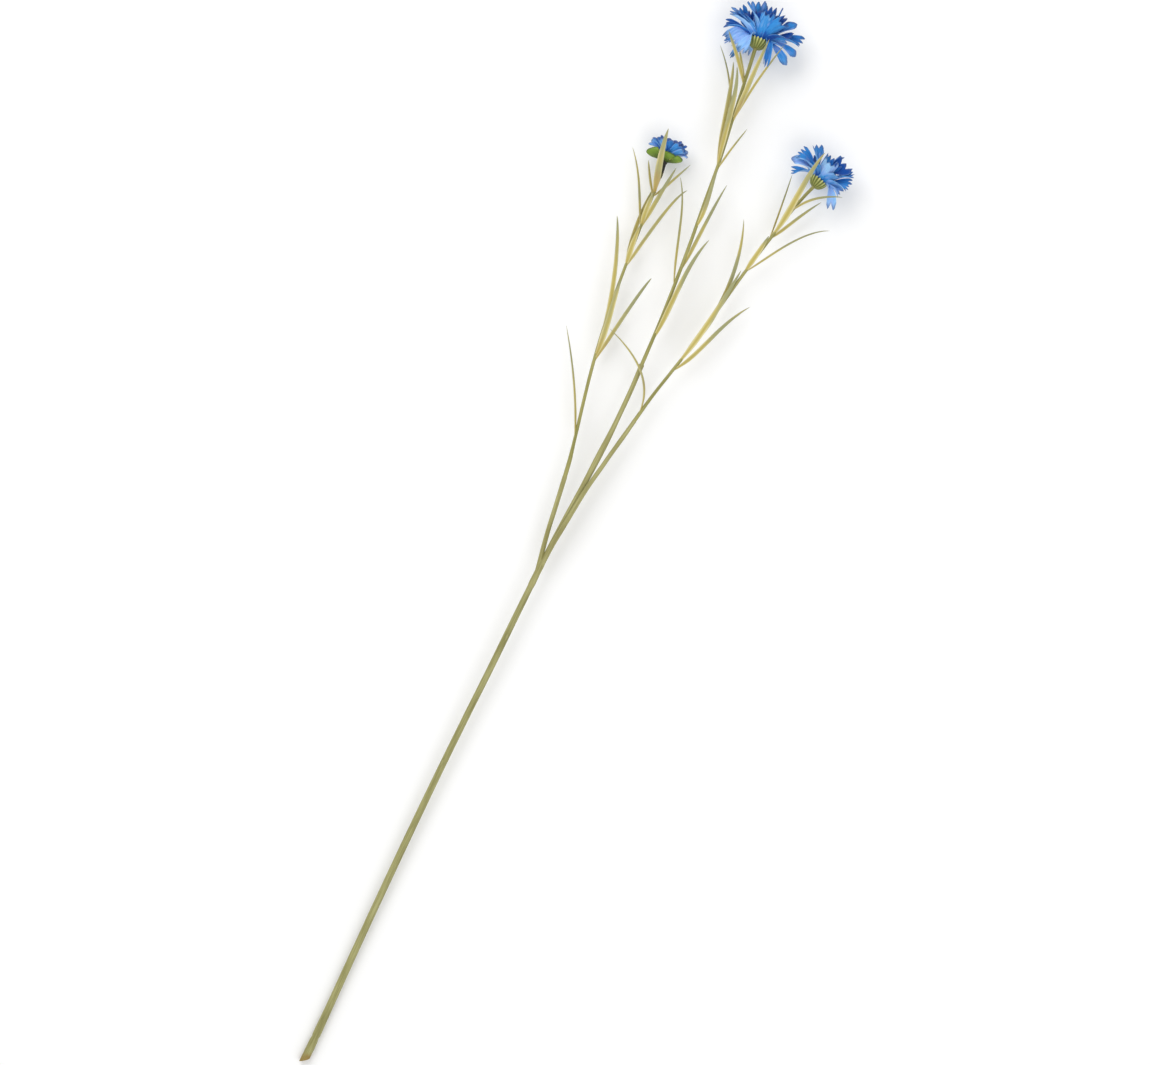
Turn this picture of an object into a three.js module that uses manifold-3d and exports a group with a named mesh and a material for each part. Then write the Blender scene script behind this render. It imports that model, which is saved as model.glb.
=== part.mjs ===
// Artificial cornflower spray lying flat: one sleeved wire stem, a moulded fork with three arms,
// and three leafy sprigs, of which two end in a fabric bloom and one in a half-open bud.
// Millimetres. The spray lies along +Y with its cut end at the low end, and +Z is up.

import * as THREE from "three";
import { mergeVertices } from "three/addons/utils/BufferGeometryUtils.js";
import Module from "manifold-3d";

const wasm = await Module();
wasm.setup();

// ---- driving dimensions -------------------------------------------------------------------

const FIT_GAP = 0.3; // clearance between two pieces that touch
const LEAF_THICKNESS = 1.0; // at the rib of a moulded leaf
const LEAF_SHARE = 0.6; // half a blade's width, as a share of its listed width
const PETAL_THICKNESS = 0.6;
const PETAL_FOOT = 1.2; // half the width of the narrowest petal where it starts
const FOOT_SHARE = 0.28; // of a petal's rim width that its foot gains
const FOOT_SPREAD = 0.92; // of a petal's foot from the axis, as a share of the core's radius
const PETAL_FLARE = 0.6; // power by which a petal widens from its foot to its rim
const UPRIGHT_PULL = 0.55; // of the head's axis on the way that an upright petal leaves
const UPRIGHT_SHARE = 0.45; // of a petal's reach that it runs before it leans out
const ARCH_SHARE = 0.75; // of a drooping petal's spread that its arch stands out by
const ARCH_START = 2.4; // of the arch of a petal that hardly spreads, out from the axis
const ARCH_REACH = 8; // the furthest out that an arch stands
const RIM_DROP = 0.8; // of the calyx rim below a head's centre
const ARCH_RISE = 2.4; // of a drooping petal's arch above a head's centre
const CORE_STRETCH = 1.6; // height of a core's dome, as a share of its radius
const CORE_TURN = 1.5; // radians that a core's dome turns through, just short of its equator
const SEPAL_THICKNESS = 0.8;
const SEPAL_SEAT = 0.9; // thickness of the seat that joins the sepals
const WIRE_RADIUS = 0.7;
const CUT_SLANT = 0.75; // rise of the slanted cut per mm across the stem
const SPIGOT_LENGTH = 8; // of the fork's spigot inside the stem
const PLUG_DEPTH = 1.4; // of a sprig's end inside its calyx
const PLUG_SHANK = 1.2; // of the plug that shows below its calyx
const CALYX_WALL = 0.7; // of a calyx round its rim and round its socket
const CALYX_FLOOR = 0.5; // drop of the floor that the petals' core sits over
const RIB_SWELL = 0.045; // of a calyx rib, as a share of the calyx radius
const RING_SCATTER = 8; // degrees that a ring's florets stray from their even places
const RING_STAGGER = 14; // degrees between the high and the low florets of a ring
const RING_HALF_WIDTH = 0.2; // of a ring floret, as a share of its reach
const RING_LOBES = 3; // teeth of a ring floret
const RING_GUTTER = 110; // degrees that a ring floret's hollow bends through
const FOOT_GUTTER = 100; // degrees that every petal's foot bends through
const WIDE_PETAL = 7; // half width above which a petal's middle is drawn more finely

const STEM_SIDES = 14;
const ARM_SIDES = 10;
const SPRIG_SIDES = 7;
const SMALL_SIDES = 8;
const LEAF_STEPS = 5;

// ---- routes -------------------------------------------------------------------------------
// Each point is [x, y, z, radius]: x across the spray, y from the cut end, z above the table.

const MAIN_STEM = [
  [-1, -1.4, 2.5, 2.5],
  [-0.75, 8, 2.7, 2.4],
  [-0.7, 10.6, 2.75, 2.38],
  [-0.64, 13.3, 2.8, 2.02],
  [-0.6, 16, 2.9, 2.33],
  [-0.4, 35, 3.35, 2.12],
  [-0.2, 65, 4.1, 2.06],
  [0.1, 95, 4.85, 2.04],
  [0.55, 125, 5.6, 2.03],
  [1.15, 155, 6.4, 1.98],
  [1.95, 185, 7.2, 1.9],
  [3, 215, 8, 1.88],
  [4.25, 245, 8.75, 1.88],
  [5.2, 275, 9.6, 1.84],
  [5.95, 296, 10.15, 1.76],
];

const FORK_FOOT = [
  [5.97, 296.4, 10.16, 1.72],
  [6.05, 298.4, 10.2, 1.95],
  [6.25, 305, 10.35, 1.84],
  [6.4, 310, 10.5, 1.95],
  [6.5, 313, 10.55, 1.6],
];

const LEFT_ARM = [
  [6.3, 303, 10.35, 1.3],
  [4.85, 312, 10.35, 1.35],
  [3.8, 318, 10.35, 1.35],
  [1.95, 330, 10.3, 1.33],
  [0.8, 340, 10.2, 1.35],
  [-0.4, 350, 10.15, 1.33],
  [-1.25, 357, 10.1, 1.38],
  [-1.75, 361, 10.05, 1.34],
];

const CENTRE_ARM = [
  [6.5, 306, 10.4, 1.6],
  [7.0, 320, 10.5, 1.6],
  [8.2, 340, 10.8, 1.55],
  [9.8, 360, 11.1, 1.6],
  [11.0, 380, 11.5, 1.78],
  [11.7, 392, 11.7, 1.6],
  [12.0, 402, 11.9, 1.38],
  [12.3, 420, 12.3, 1.36],
  [12.1, 431, 12.5, 1.36],
  [11.95, 436.5, 12.6, 1.5],
];

const RIGHT_ARM = [
  [6.6, 306, 10.5, 1.4],
  [7.5, 322, 12, 1.45],
  [9.1, 335, 13.2, 1.4],
  [11.95, 358, 13.5, 1.32],
  [15.15, 375, 13.3, 1.26],
  [16.85, 384, 13.2, 1.24],
  [19.1, 395, 13.1, 1.3],
  [20.45, 402, 13.05, 1.2],
  [21.2, 406, 13.05, 1.2],
];

// A sprig's first two points are the plug inside the arm's socket.
const LEFT_SPRIG = [
  [-1.33, 357.6, 10.1, 0.6],
  [-1.75, 361, 10.05, 0.6],
  [-1.81, 361.4, 10.05, 1.24],
  [-3, 370, 10, 1.22],
  [-3.9, 375, 10, 1.12],
  [-4.85, 380, 10, 0.98],
  [-6.95, 391, 10, 0.96],
  [-9.5, 404, 10, 0.95],
  [-12.6, 421, 10.1, 0.95],
  [-15.4, 440, 10.2, 0.92],
  [-17.7, 462, 10.3, 0.9],
  [-19.4, 485, 10.4, 0.85],
  [-20.6, 508, 10.45, 0.78],
  [-21.6, 529, 10.5, 0.7],
  [-22, 537.5, 10.6, 0.68],
];

const CENTRE_SPRIG = [
  [12.1, 432.9, 12.53, 0.7],
  [11.95, 436.5, 12.6, 0.7],
  [11.94, 436.9, 12.6, 1.1],
  [11.5, 460, 13.1, 1.0],
  [10.4, 485, 13.6, 1.0],
  [8.8, 510, 14.1, 0.98],
  [6.7, 535, 14.8, 0.95],
  [4.8, 560, 15.5, 0.92],
  [1.8, 585, 16.2, 0.9],
  [-0.3, 604, 16.9, 0.95],
  [-1.8, 617, 17.9, 1.05],
];

const RIGHT_SPRIG = [
  [20.57, 402.8, 13.05, 0.6],
  [21.2, 406, 13.05, 0.6],
  [21.28, 406.4, 13.05, 1.1],
  [24.7, 423, 13.1, 0.96],
  [29.5, 442, 13.2, 0.92],
  [34.2, 461, 13.3, 0.92],
  [39.6, 488, 13.6, 0.9],
  [43.6, 508, 13.8, 0.9],
  [48.7, 530, 14.1, 0.88],
  [53.8, 551, 14.5, 0.86],
  [57, 561.5, 15.2, 0.92],
];

// The neck's flared end is worked out from the foot of the sepals.
const BUD_NECK = [
  [-22.02, 537.8, 10.6, 0.95],
  [-22.15, 538.8, 10.6, 1.0],
  [-22.8, 541.8, 10.65, 1.2],
];

// ---- leaves -------------------------------------------------------------------------------
// Each leaf is [root, first, second, tip, width, roll]: its blade passes through the four points
// at even steps, and roll in degrees turns it from lying flat to standing on its edge.

const LEFT_LEAVES = [
  [[-4.9, 381, 10], [-13, 400, 10.5], [-23.8, 420, 9.5], [-36.5, 440, 7.5], 2.2, 60],
  [[-13.6, 427, 10.1], [-10.2, 448, 11.5], [-6.3, 470, 11], [-3, 483.5, 9.5], 2.3, 35],
  [[-13.8, 429, 10.1], [-14.8, 445, 12.6], [-17, 462, 13], [-18.5, 476, 12], 2.8, 5],
  [[-14, 430, 10.1], [-18, 458, 12.8], [-26.5, 487, 12.5], [-35.5, 508, 10], 2.5, 20],
  [[-19.1, 484, 10.4], [-16, 500, 12.5], [-11, 522, 14.5], [-4.8, 536.5, 14.5], 2.2, 40],
  [[-19.1, 484, 10.4], [-22.2, 499, 8.5], [-23.5, 516, 8], [-22.8, 531, 8.3], 2.4, 30],
  [[-19.2, 484, 10.4], [-20.2, 492, 12], [-20.9, 500, 12.2], [-21.1, 508, 11.7], 2.6, 0],
  [[-20.5, 507, 10.4], [-27, 520, 11], [-34, 533.5, 11], [-43.5, 547, 9], 2.2, 55],
  [[-20.5, 507, 10.4], [-19, 520, 12], [-17.5, 533, 13], [-15.8, 546, 13.2], 2.4, 30],
  [[-20.6, 508, 10.4], [-21.4, 515, 12], [-21.8, 522, 12.2], [-21.9, 528, 11.8], 2.4, 0],
  [[-21.4, 526, 10.5], [-17.5, 533, 11], [-13.8, 541, 11.5], [-9, 551, 11], 2, 50],
  [[-21.4, 526, 10.5], [-26, 533, 8], [-29.5, 539, 6], [-32.2, 544.4, 5], 2, 50],
  [[-21.5, 528, 10.5], [-24.2, 539, 17], [-26.8, 550, 21.5], [-28.7, 563, 23.5], 3.35, 10],
];

const CENTRE_LEAVES = [
  [[11.6, 452, 13], [12.9, 472, 15], [13.7, 495, 15.5], [18, 516.5, 14], 2.7, 25],
  [[10.4, 484, 13.6], [3, 505, 12], [-3.5, 526, 9.5], [-12.2, 543, 8], 2.2, 55],
  [[9.9, 493, 13.8], [11.3, 511, 13.5], [12.4, 530, 13], [14.3, 549, 12], 2.4, 40],
  [[8, 519, 14.4], [8.4, 531, 16.6], [7, 543, 16.8], [5.8, 555, 16.2], 1.9, 0],
  [[5.4, 553, 15.3], [7, 563, 15.5], [9.3, 573, 15.5], [11.8, 582, 15], 2, 60],
  [[5.1, 556, 15.4], [-0.5, 575, 17.5], [-5.7, 596, 18.5], [-11, 613, 18], 2.7, 25],
  [[5.1, 556, 15.4], [1, 576, 19], [-2.5, 595, 20.5], [-8, 611, 20.5], 2.7, 15],
  [[2.3, 580, 16], [-3, 592, 15], [-11, 606, 13.5], [-22, 619.5, 12], 2, 55],
  [[0, 603, 16.7], [-7, 612, 21], [-14, 619.5, 25], [-20.5, 626.5, 27], 2.3, 30],
  [[-0.1, 604, 16.7], [-4, 610, 18], [-7.5, 615.5, 18.5], [-10.7, 620.5, 18.5], 2, 40],
  [[2.3, 581, 16.1], [2.3, 598, 20], [2.2, 615, 24], [2.5, 631.5, 26.4], 2.4, 5],
  [[2.3, 581, 16.1], [4.4, 600, 18.5], [7.3, 616, 20], [11.5, 633, 21.5], 2, 50],
];

const RIGHT_LEAVES = [
  [[21.8, 409, 13.1], [16.5, 428, 15.5], [3, 440, 17], [-13, 447.5, 15.5], 2, 55],
  [[29.3, 441, 13.2], [37.5, 456, 13.5], [44.6, 474, 13], [54.5, 491.5, 11.5], 2.5, 35],
  [[30.4, 446, 13.2], [35, 465, 15.5], [38.7, 487, 15.8], [41.3, 508, 14.8], 2.7, 0],
  [[32.9, 456, 13.3], [38, 482, 11.8], [37.3, 510, 11], [30.7, 535.5, 10], 2.5, 30],
  [[43.5, 508, 13.8], [52.5, 522, 14], [64, 538, 13.5], [78, 549, 12], 2, 60],
  [[43.5, 508, 13.8], [45, 516, 15.5], [46.4, 524, 15.5], [47.6, 532, 15], 2.5, 5],
  [[48.6, 530, 14.1], [47.6, 544, 12], [46.6, 557, 10], [45.5, 570, 8.5], 1.9, 60],
  [[48.8, 531, 14.1], [54, 540, 12], [60, 551, 11], [67, 562, 10], 2.2, 45],
  [[49.2, 533, 14.1], [52.2, 550, 19], [53.7, 568, 24.5], [57, 586, 28.5], 3, 5],
  [[53.5, 550, 14.4], [58.5, 557.5, 17], [66, 563.5, 20], [76.5, 568, 21.2], 2, 55],
];

// ---- flower heads -------------------------------------------------------------------------
// A head's centre lies just above its calyx rim, and its axis points out of the flower.
// Each floret is [across, along, up, half width, gutter, roll, lobes]: the middle of its toothed
// rim measured from the centre, half the cloth's width there, the angle its hollow bends
// through, the turn of that hollow from the head's axis up to the sky, and its number of teeth.

const TOP_BLOOM = {
  centre: [-2.9, 630, 17.5],
  axis: [-0.05, 0.97, -0.2],
  calyxRadius: 5.8,
  calyxDepth: 4.8,
  calyxRibs: 18,
  plugRadius: 1.1,
  coreRadius: 4.6,
  footRise: 0,
  toothLength: 2.4,
  florets: [
    [-18.5, 11.2, 1, 5.8, 100, 60, 4],
    [-21.8, 6.6, 5, 5, 120, 50, 4],
    [-12.8, -11, 5, 9, 40, 85, 7],
    [-10.6, 18.8, 3.5, 7, 80, 80, 4],
    [-0.6, 14, 13, 7.6, 240, 0, 5],
    [10.8, 11.8, 11.5, 7.4, 220, 15, 5],
    [5.2, 22.2, 0, 1.6, 90, 40, 1],
    [-2.2, 20.4, 1, 5.6, 120, 20, 4],
    [16.2, 16.8, 1, 2.8, 40, 85, 1],
    [23.8, 7.2, 2, 5.2, 110, 60, 4],
    [23.4, -0.4, -1, 2.8, 40, 85, 1],
    [20.8, -7, -1, 3, 40, 85, 1],
    [9.4, -15, 8, 2.6, 170, 90, 3],
    [-4.4, -9, -10, 4.6, 60, 10, 3],
    [-21.8, 0.6, -4, 5, 80, 50, 4],
    [-18.4, -8, -7, 4.6, 60, 50, 3],
    [-10.8, -15, -9, 2.6, 90, 10, 3],
    [-6.2, 15, 6.5, 5, 60, 20, 3],
    [16.5, 7, 6, 5.4, 90, 50, 4],
    [4.2, 17, 5, 4.4, 60, 0, 3],
    [9.8, 17.4, 3, 5.4, 120, 30, 4],
    [-12.8, 11.4, 3, 5.8, 90, 60, 4],
  ],
  rings: [
    { count: 6, from: 200, to: 340, polar: 62, reach: 17 },
    { count: 2, from: 40, to: 142, polar: 52, reach: 13 },
  ],
};

const RIGHT_BLOOM = {
  centre: [60.6, 572.3, 15.3],
  axis: [0.28, 0.94, -0.17],
  calyxRadius: 5.2,
  calyxDepth: 4.4,
  calyxRibs: 16,
  plugRadius: 1,
  coreRadius: 4.1,
  footRise: -0.2,
  toothLength: 2.2,
  florets: [
    [-20.6, 4, 3.5, 3.4, 60, 80, 1],
    [-16.8, -1.2, -6, 4, 60, 50, 3],
    [-17.6, 9.4, 1, 5.8, 100, 70, 5],
    [-10, 17.6, 2, 4.8, 80, 70, 3],
    [-6.6, 19, -3, 2.6, 90, 50, 1],
    [0.8, 16.8, -6, 4, 90, 50, 3],
    [1, 9.8, 12, 7.6, 230, 0, 5],
    [7, 17.8, -1, 3.4, 90, 50, 2],
    [10.4, 15, 3, 6.4, 44, 110, 3],
    [17, 10.4, 4.5, 5, 90, 65, 5],
    [17.6, 2.8, 4.5, 5.2, 80, 75, 5],
    [12.6, -13.6, 2.5, 3.2, 40, 85, 2],
    [14.4, -2.4, -5, 5, 60, 60, 3],
    [-8.5, 8, 7, 5.6, 100, 40, 4],
    [10, 5.6, 8.5, 5.4, 90, 50, 4],
    [5.6, 12.6, 6, 5, 110, 20, 3],
  ],
  rings: [
    { count: 5, from: 200, to: 340, polar: 62, reach: 16 },
    { count: 2, from: 50, to: 130, polar: 52, reach: 11.5 },
  ],
};

const LEFT_BUD = {
  centre: [-23.8, 550.8, 10.5],
  axis: [-0.03, 0.98, -0.12],
  coreRadius: 3,
  footRise: -1.2,
  toothLength: 1.1,
  florets: [
    [-8.4, 7.4, -0.5, 5, 60, 75, 3],
    [-11.8, 3, -1, 3.8, 50, 60, 2],
    [-3.6, 9, 0, 5, 60, 85, 3],
    [1, 9.8, 0, 5, 50, 80, 3],
    [5.2, 9.2, 0, 4.8, 50, 75, 3],
    [8.8, 7.2, -0.5, 4.8, 50, 75, 3],
    [11.4, 4.4, 0.5, 3.8, 50, 60, 2],
    [-7.8, 6.2, 4.2, 4.4, 60, 0, 2],
    [-3.8, 7.4, 6, 4.6, 60, 0, 3],
    [1.4, 8, 6.4, 5, 60, 0, 3],
    [6.2, 6.8, 5.6, 4.6, 60, -10, 3],
    [9.2, 4.6, 5.4, 3.2, 60, -10, 2],
  ],
  rings: [
    { count: 2, from: 235, to: 305, polar: 56, reach: 9.6 },
  ],
  sepalDrop: 4.4,
  sepals: [
    [-10, 3.6, 3.2, 4.1, 60, -75],
    [8.8, 5.2, 3, 3.3, 100, -30],
    [2.2, 5.4, 5.6, 4.4, 100, 0],
    [-4.5, 4.6, -6.4, 3.7, 100, 0],
    [5.4, 4.6, -6, 3.7, 100, 0],
  ],
};

// ---- shared helpers -----------------------------------------------------------------------

const vec = (p) => new THREE.Vector3(p[0], p[1], p[2]);
const UP = new THREE.Vector3(0, 0, 1);

// A seeded draw from 0 to 1: the same number k always gives the same value.
function draw(k) {
  const s = Math.sin(k * 12.9898 + 4.1414) * 43758.5453;
  return s - Math.floor(s);
}

// A closed surface from points and triangles, turned so that its faces point outwards.
function closedSolid(points, faces) {
  let volume = 0;
  const cross = new THREE.Vector3();
  for (const [a, b, c] of faces) {
    volume += cross.crossVectors(points[b], points[c]).dot(points[a]);
  }
  const outward = volume > 0 ? faces : faces.map(([a, b, c]) => [a, c, b]);
  return new wasm.Manifold(new wasm.Mesh({
    numProp: 3,
    vertProperties: Float32Array.from(points.flatMap((p) => [p.x, p.y, p.z])),
    triVerts: Uint32Array.from(outward.flat()),
  }));
}

function solidFromGeometry(geometry, place) {
  const plain = geometry.clone();
  plain.deleteAttribute("normal");
  plain.deleteAttribute("uv");
  const merged = mergeVertices(plain, 1e-4);
  const position = merged.getAttribute("position");
  const points = [];
  for (let i = 0; i < position.count; i += 1) {
    points.push(new THREE.Vector3().fromBufferAttribute(position, i).applyMatrix4(place));
  }
  const index = merged.index.array;
  const faces = [];
  for (let i = 0; i < index.length; i += 3) {
    const face = [index[i], index[i + 1], index[i + 2]];
    if (new Set(face).size === 3) faces.push(face);
  }
  return closedSolid(points, faces);
}

// Joins solids into one body. A hollow sealed between them is filled and a loose scrap dropped.
function join(solids) {
  const whole = solids.reduce((sum, next) => sum.add(next));
  return whole.decompose().reduce((best, next) => (next.volume() > best.volume() ? next : best));
}

function namedMesh(name, solid, colour, roughness, metalness = 0) {
  const { vertProperties, triVerts, numProp } = solid.getMesh();
  const geometry = new THREE.BufferGeometry();
  const position = [];
  for (let i = 0; i < vertProperties.length; i += numProp) {
    position.push(vertProperties[i], vertProperties[i + 1], vertProperties[i + 2]);
  }
  geometry.setAttribute("position", new THREE.Float32BufferAttribute(position, 3));
  geometry.setIndex(Array.from(triVerts));
  geometry.computeVertexNormals();
  const material = new THREE.MeshStandardMaterial({ color: colour, roughness, metalness });
  const mesh = new THREE.Mesh(geometry, material);
  mesh.name = name;
  return mesh;
}

// ---- stems --------------------------------------------------------------------------------

// A round closed rod through route points of [x, y, z, radius]. radiusOf can change the radius,
// and slant shears the first ring along the rod as the cut end is.
function rod(route, sides, { radiusOf = (r) => r, slant = 0 } = {}) {
  const points = [];
  const faces = [];
  route.forEach((spot, i) => {
    const before = vec(route[Math.max(i - 1, 0)]);
    const after = vec(route[Math.min(i + 1, route.length - 1)]);
    const along = after.sub(before).normalize();
    const side = new THREE.Vector3().crossVectors(along, UP).normalize();
    const top = new THREE.Vector3().crossVectors(side, along);
    const radius = radiusOf(spot[3]);
    for (let k = 0; k < sides; k += 1) {
      const angle = (2 * Math.PI * k) / sides;
      const across = radius * Math.cos(angle);
      const shear = i === 0 ? slant * across : 0;
      points.push(vec(spot)
        .addScaledVector(side, across)
        .addScaledVector(top, radius * Math.sin(angle))
        .addScaledVector(along, shear));
    }
  });
  for (let i = 0; i + 1 < route.length; i += 1) {
    for (let k = 0; k < sides; k += 1) {
      const a = i * sides + k;
      const b = i * sides + ((k + 1) % sides);
      faces.push([a, b, b + sides], [a, b + sides, a + sides]);
    }
  }
  const last = (route.length - 1) * sides;
  for (let k = 1; k + 1 < sides; k += 1) {
    faces.push([0, k + 1, k], [last, last + k, last + k + 1]);
  }
  return closedSolid(points, faces);
}

// ---- leaves -------------------------------------------------------------------------------

// A cubic curve that passes through four points at t = 0, 1/3, 2/3 and 1.
function curveThrough(start, first, second, end) {
  const handleA = start.clone().multiplyScalar(-5).addScaledVector(first, 18)
    .addScaledVector(second, -9).addScaledVector(end, 2).divideScalar(6);
  const handleB = start.clone().multiplyScalar(2).addScaledVector(first, -9)
    .addScaledVector(second, 18).addScaledVector(end, -5).divideScalar(6);
  return new THREE.CubicBezierCurve3(start, handleA, handleB, end);
}

// Share of the full width at t along a leaf: a narrow foot, a long belly and a fine tip.
function leafOutline(t) {
  const foot = Math.min(t / 0.28, 1);
  return (0.5 + 0.5 * foot * foot * (3 - 2 * foot)) * (1 - t ** 3.2) ** 0.72;
}

function leaf([root, first, second, tip, width, roll]) {
  const curve = curveThrough(vec(root), vec(first), vec(second), vec(tip));
  const points = [];
  const faces = [];
  for (let i = 0; i < LEAF_STEPS; i += 1) {
    const t = i / LEAF_STEPS;
    const along = curve.getTangent(t);
    const flat = new THREE.Vector3().crossVectors(along, UP).normalize();
    const across = flat.applyAxisAngle(along, THREE.MathUtils.degToRad(roll));
    const face = new THREE.Vector3().crossVectors(across, along);
    const half = LEAF_SHARE * width * leafOutline(t);
    const rib = 0.5 * LEAF_THICKNESS * (1 - 0.35 * t);
    const spot = curve.getPoint(t);
    points.push(
      spot.clone().addScaledVector(across, -half),
      spot.clone().addScaledVector(face, rib),
      spot.clone().addScaledVector(across, half),
      spot.clone().addScaledVector(face, -rib),
    );
  }
  points.push(vec(tip));
  for (let i = 0; i + 1 < LEAF_STEPS; i += 1) {
    for (let k = 0; k < 4; k += 1) {
      const a = i * 4 + k;
      const b = i * 4 + ((k + 1) % 4);
      faces.push([a, b, b + 4], [a, b + 4, a + 4]);
    }
  }
  const last = (LEAF_STEPS - 1) * 4;
  for (let k = 0; k < 4; k += 1) {
    faces.push([last + k, last + ((k + 1) % 4), points.length - 1]);
  }
  faces.push([0, 2, 1], [0, 3, 2]);
  return closedSolid(points, faces);
}

// ---- petals and sepals --------------------------------------------------------------------

// A bent sheet with thickness. path(v) is its middle line, half(v) half its cloth width,
// gutter(v) the angle its hollow bends through and facing the way the hollow opens. Each row
// lists its [u, v] corners from one edge, u = -1, to the other, u = 1.
function sheet({ path, half, gutter, facing, rows, thickness }) {
  const points = [];
  const faces = [];
  const corner = (u, v, side) => {
    const along = path.getTangent(v);
    const across = new THREE.Vector3().crossVectors(along, facing(v)).normalize();
    const open = new THREE.Vector3().crossVectors(across, along);
    const bend = gutter(v);
    const radius = (2 * half(v)) / bend;
    const angle = 0.5 * u * bend;
    const offset = 0.5 * side * thickness;
    return path.getPoint(v)
      .addScaledVector(across, (radius - offset) * Math.sin(angle))
      .addScaledVector(open, radius - (radius - offset) * Math.cos(angle));
  };
  const numbered = rows.map((row) => row.map(([u, v]) => {
    points.push(corner(u, v, 1), corner(u, v, -1));
    return { u, id: points.length - 2 };
  }));
  const stitch = (a, b, c) => faces.push([a, b, c], [a + 1, c + 1, b + 1]);
  const wall = (a, b) => faces.push([b, a, a + 1], [b, a + 1, b + 1]);
  for (let r = 0; r + 1 < numbered.length; r += 1) {
    const low = numbered[r];
    const high = numbered[r + 1];
    let i = 0;
    let j = 0;
    while (i + 1 < low.length || j + 1 < high.length) {
      const lowNext = i + 1 < low.length ? low[i].u + low[i + 1].u : Infinity;
      const highNext = j + 1 < high.length ? high[j].u + high[j + 1].u : Infinity;
      if (lowNext <= highNext) {
        stitch(low[i].id, low[i + 1].id, high[j].id);
        i += 1;
      } else {
        stitch(low[i].id, high[j + 1].id, high[j].id);
        j += 1;
      }
    }
    wall(high[0].id, low[0].id);
    wall(low.at(-1).id, high.at(-1).id);
  }
  const root = numbered[0];
  const rim = numbered.at(-1);
  for (let i = 0; i + 1 < root.length; i += 1) wall(root[i].id, root[i + 1].id);
  for (let i = 0; i + 1 < rim.length; i += 1) wall(rim[i + 1].id, rim[i].id);
  return closedSolid(points, faces);
}

const evenRow = (count, v) => Array.from({ length: count }, (_, i) => [(2 * i) / (count - 1) - 1, v]);

// The middle line of a petal, from a foot beside the head's axis out to its tip. An upright petal
// leaves along the axis and leans out; a drooping one first runs out over the calyx rim.
function petalPath(head, tipOffset) {
  const axis = vec(head.axis).normalize();
  const centre = vec(head.centre);
  const out = vec(tipOffset);
  const reach = out.length();
  const rise = out.dot(axis);
  const radial = out.clone().addScaledVector(axis, -rise);
  const spread = radial.length();
  radial.normalize();
  const foot = centre.clone().addScaledVector(radial, FOOT_SPREAD * head.coreRadius)
    .addScaledVector(axis, head.footRise);
  const upright = out.clone().normalize().addScaledVector(axis, UPRIGHT_PULL).normalize();
  const lean = foot.clone().addScaledVector(upright, UPRIGHT_SHARE * reach);
  const arch = centre.clone()
    .addScaledVector(radial, Math.min(ARCH_SHARE * spread + ARCH_START, ARCH_REACH))
    .addScaledVector(axis, ARCH_RISE);
  const droop = THREE.MathUtils.clamp((-3 * rise) / reach, 0, 1);
  const path = new THREE.QuadraticBezierCurve3(foot, lean.lerp(arch, droop), centre.clone().add(out));
  const inward = axis.addScaledVector(radial, -Math.max(rise / reach, 0));
  return { path, inward, reach, droop };
}

// The way a petal's hollow opens at v: inwards over the heart of the head at its foot, and turned
// by `roll` degrees up to the sky at its tip.
function hollowFacing(inward, roll, v) {
  const turn = THREE.MathUtils.degToRad(roll) * v;
  return inward.clone().multiplyScalar(Math.cos(turn)).addScaledVector(UP, Math.sin(turn));
}

function floret(head, [across, along, up, halfWidth, gutter, roll, lobes], seed) {
  const { path, inward, reach, droop } = petalPath(head, [across, along, up]);
  const toothLength = head.toothLength / reach;
  const foot = PETAL_FOOT + FOOT_SHARE * halfWidth;
  const rim = [];
  for (let k = 0; k <= 2 * lobes; k += 1) {
    const tip = k % 2 === 1;
    const end = tip ? 1 - 0.05 * draw(seed + k) : 1 - toothLength * (0.8 + 0.5 * draw(seed + k));
    rim.push([k / lobes - 1, end]);
  }
  return sheet({
    path,
    half: (v) => foot + (halfWidth - foot) * v ** PETAL_FLARE,
    gutter: (v) => THREE.MathUtils.degToRad(FOOT_GUTTER + (gutter - FOOT_GUTTER) * v),
    facing: (v) => hollowFacing(inward, roll, v),
    rows: halfWidth > WIDE_PETAL || droop > 0 ? [evenRow(2, 0), evenRow(3, 0.33), evenRow(5, 0.66), rim]
      : [evenRow(2, 0), evenRow(3, 0.5), rim],
    thickness: PETAL_THICKNESS,
  });
}

// A ring of like florets round the head's axis, between two azimuths counted from +X to the sky.
function floretRing(head, { count, from, to, polar, reach }, seed) {
  const axis = vec(head.axis).normalize();
  const right = new THREE.Vector3(1, 0, 0).addScaledVector(axis, -axis.x).normalize();
  const sky = new THREE.Vector3().crossVectors(right, axis);
  const florets = [];
  for (let k = 0; k < count; k += 1) {
    const share = to - from < 360 ? k / (count - 1) : k / count;
    const turned = RING_SCATTER * (draw(seed + k) - 0.5);
    const tipped = RING_STAGGER * (k % 2) + RING_SCATTER * (draw(seed + k + 50) - 0.5);
    const azimuth = THREE.MathUtils.degToRad(from + (to - from) * share + turned);
    const lean = THREE.MathUtils.degToRad(polar + tipped);
    const out = axis.clone().multiplyScalar(Math.cos(lean))
      .addScaledVector(right, Math.sin(lean) * Math.cos(azimuth))
      .addScaledVector(sky, Math.sin(lean) * Math.sin(azimuth))
      .multiplyScalar(reach * (0.96 + 0.06 * draw(seed + k + 90)));
    const half = reach * (RING_HALF_WIDTH + 0.04 * draw(seed + k + 130));
    florets.push([...out.toArray(), half, RING_GUTTER, 0, RING_LOBES]);
  }
  return florets;
}

// The place on a head's axis that lies `rise` above its centre.
function onAxis(head, rise) {
  return vec(head.centre).addScaledVector(vec(head.axis).normalize(), rise);
}

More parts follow.
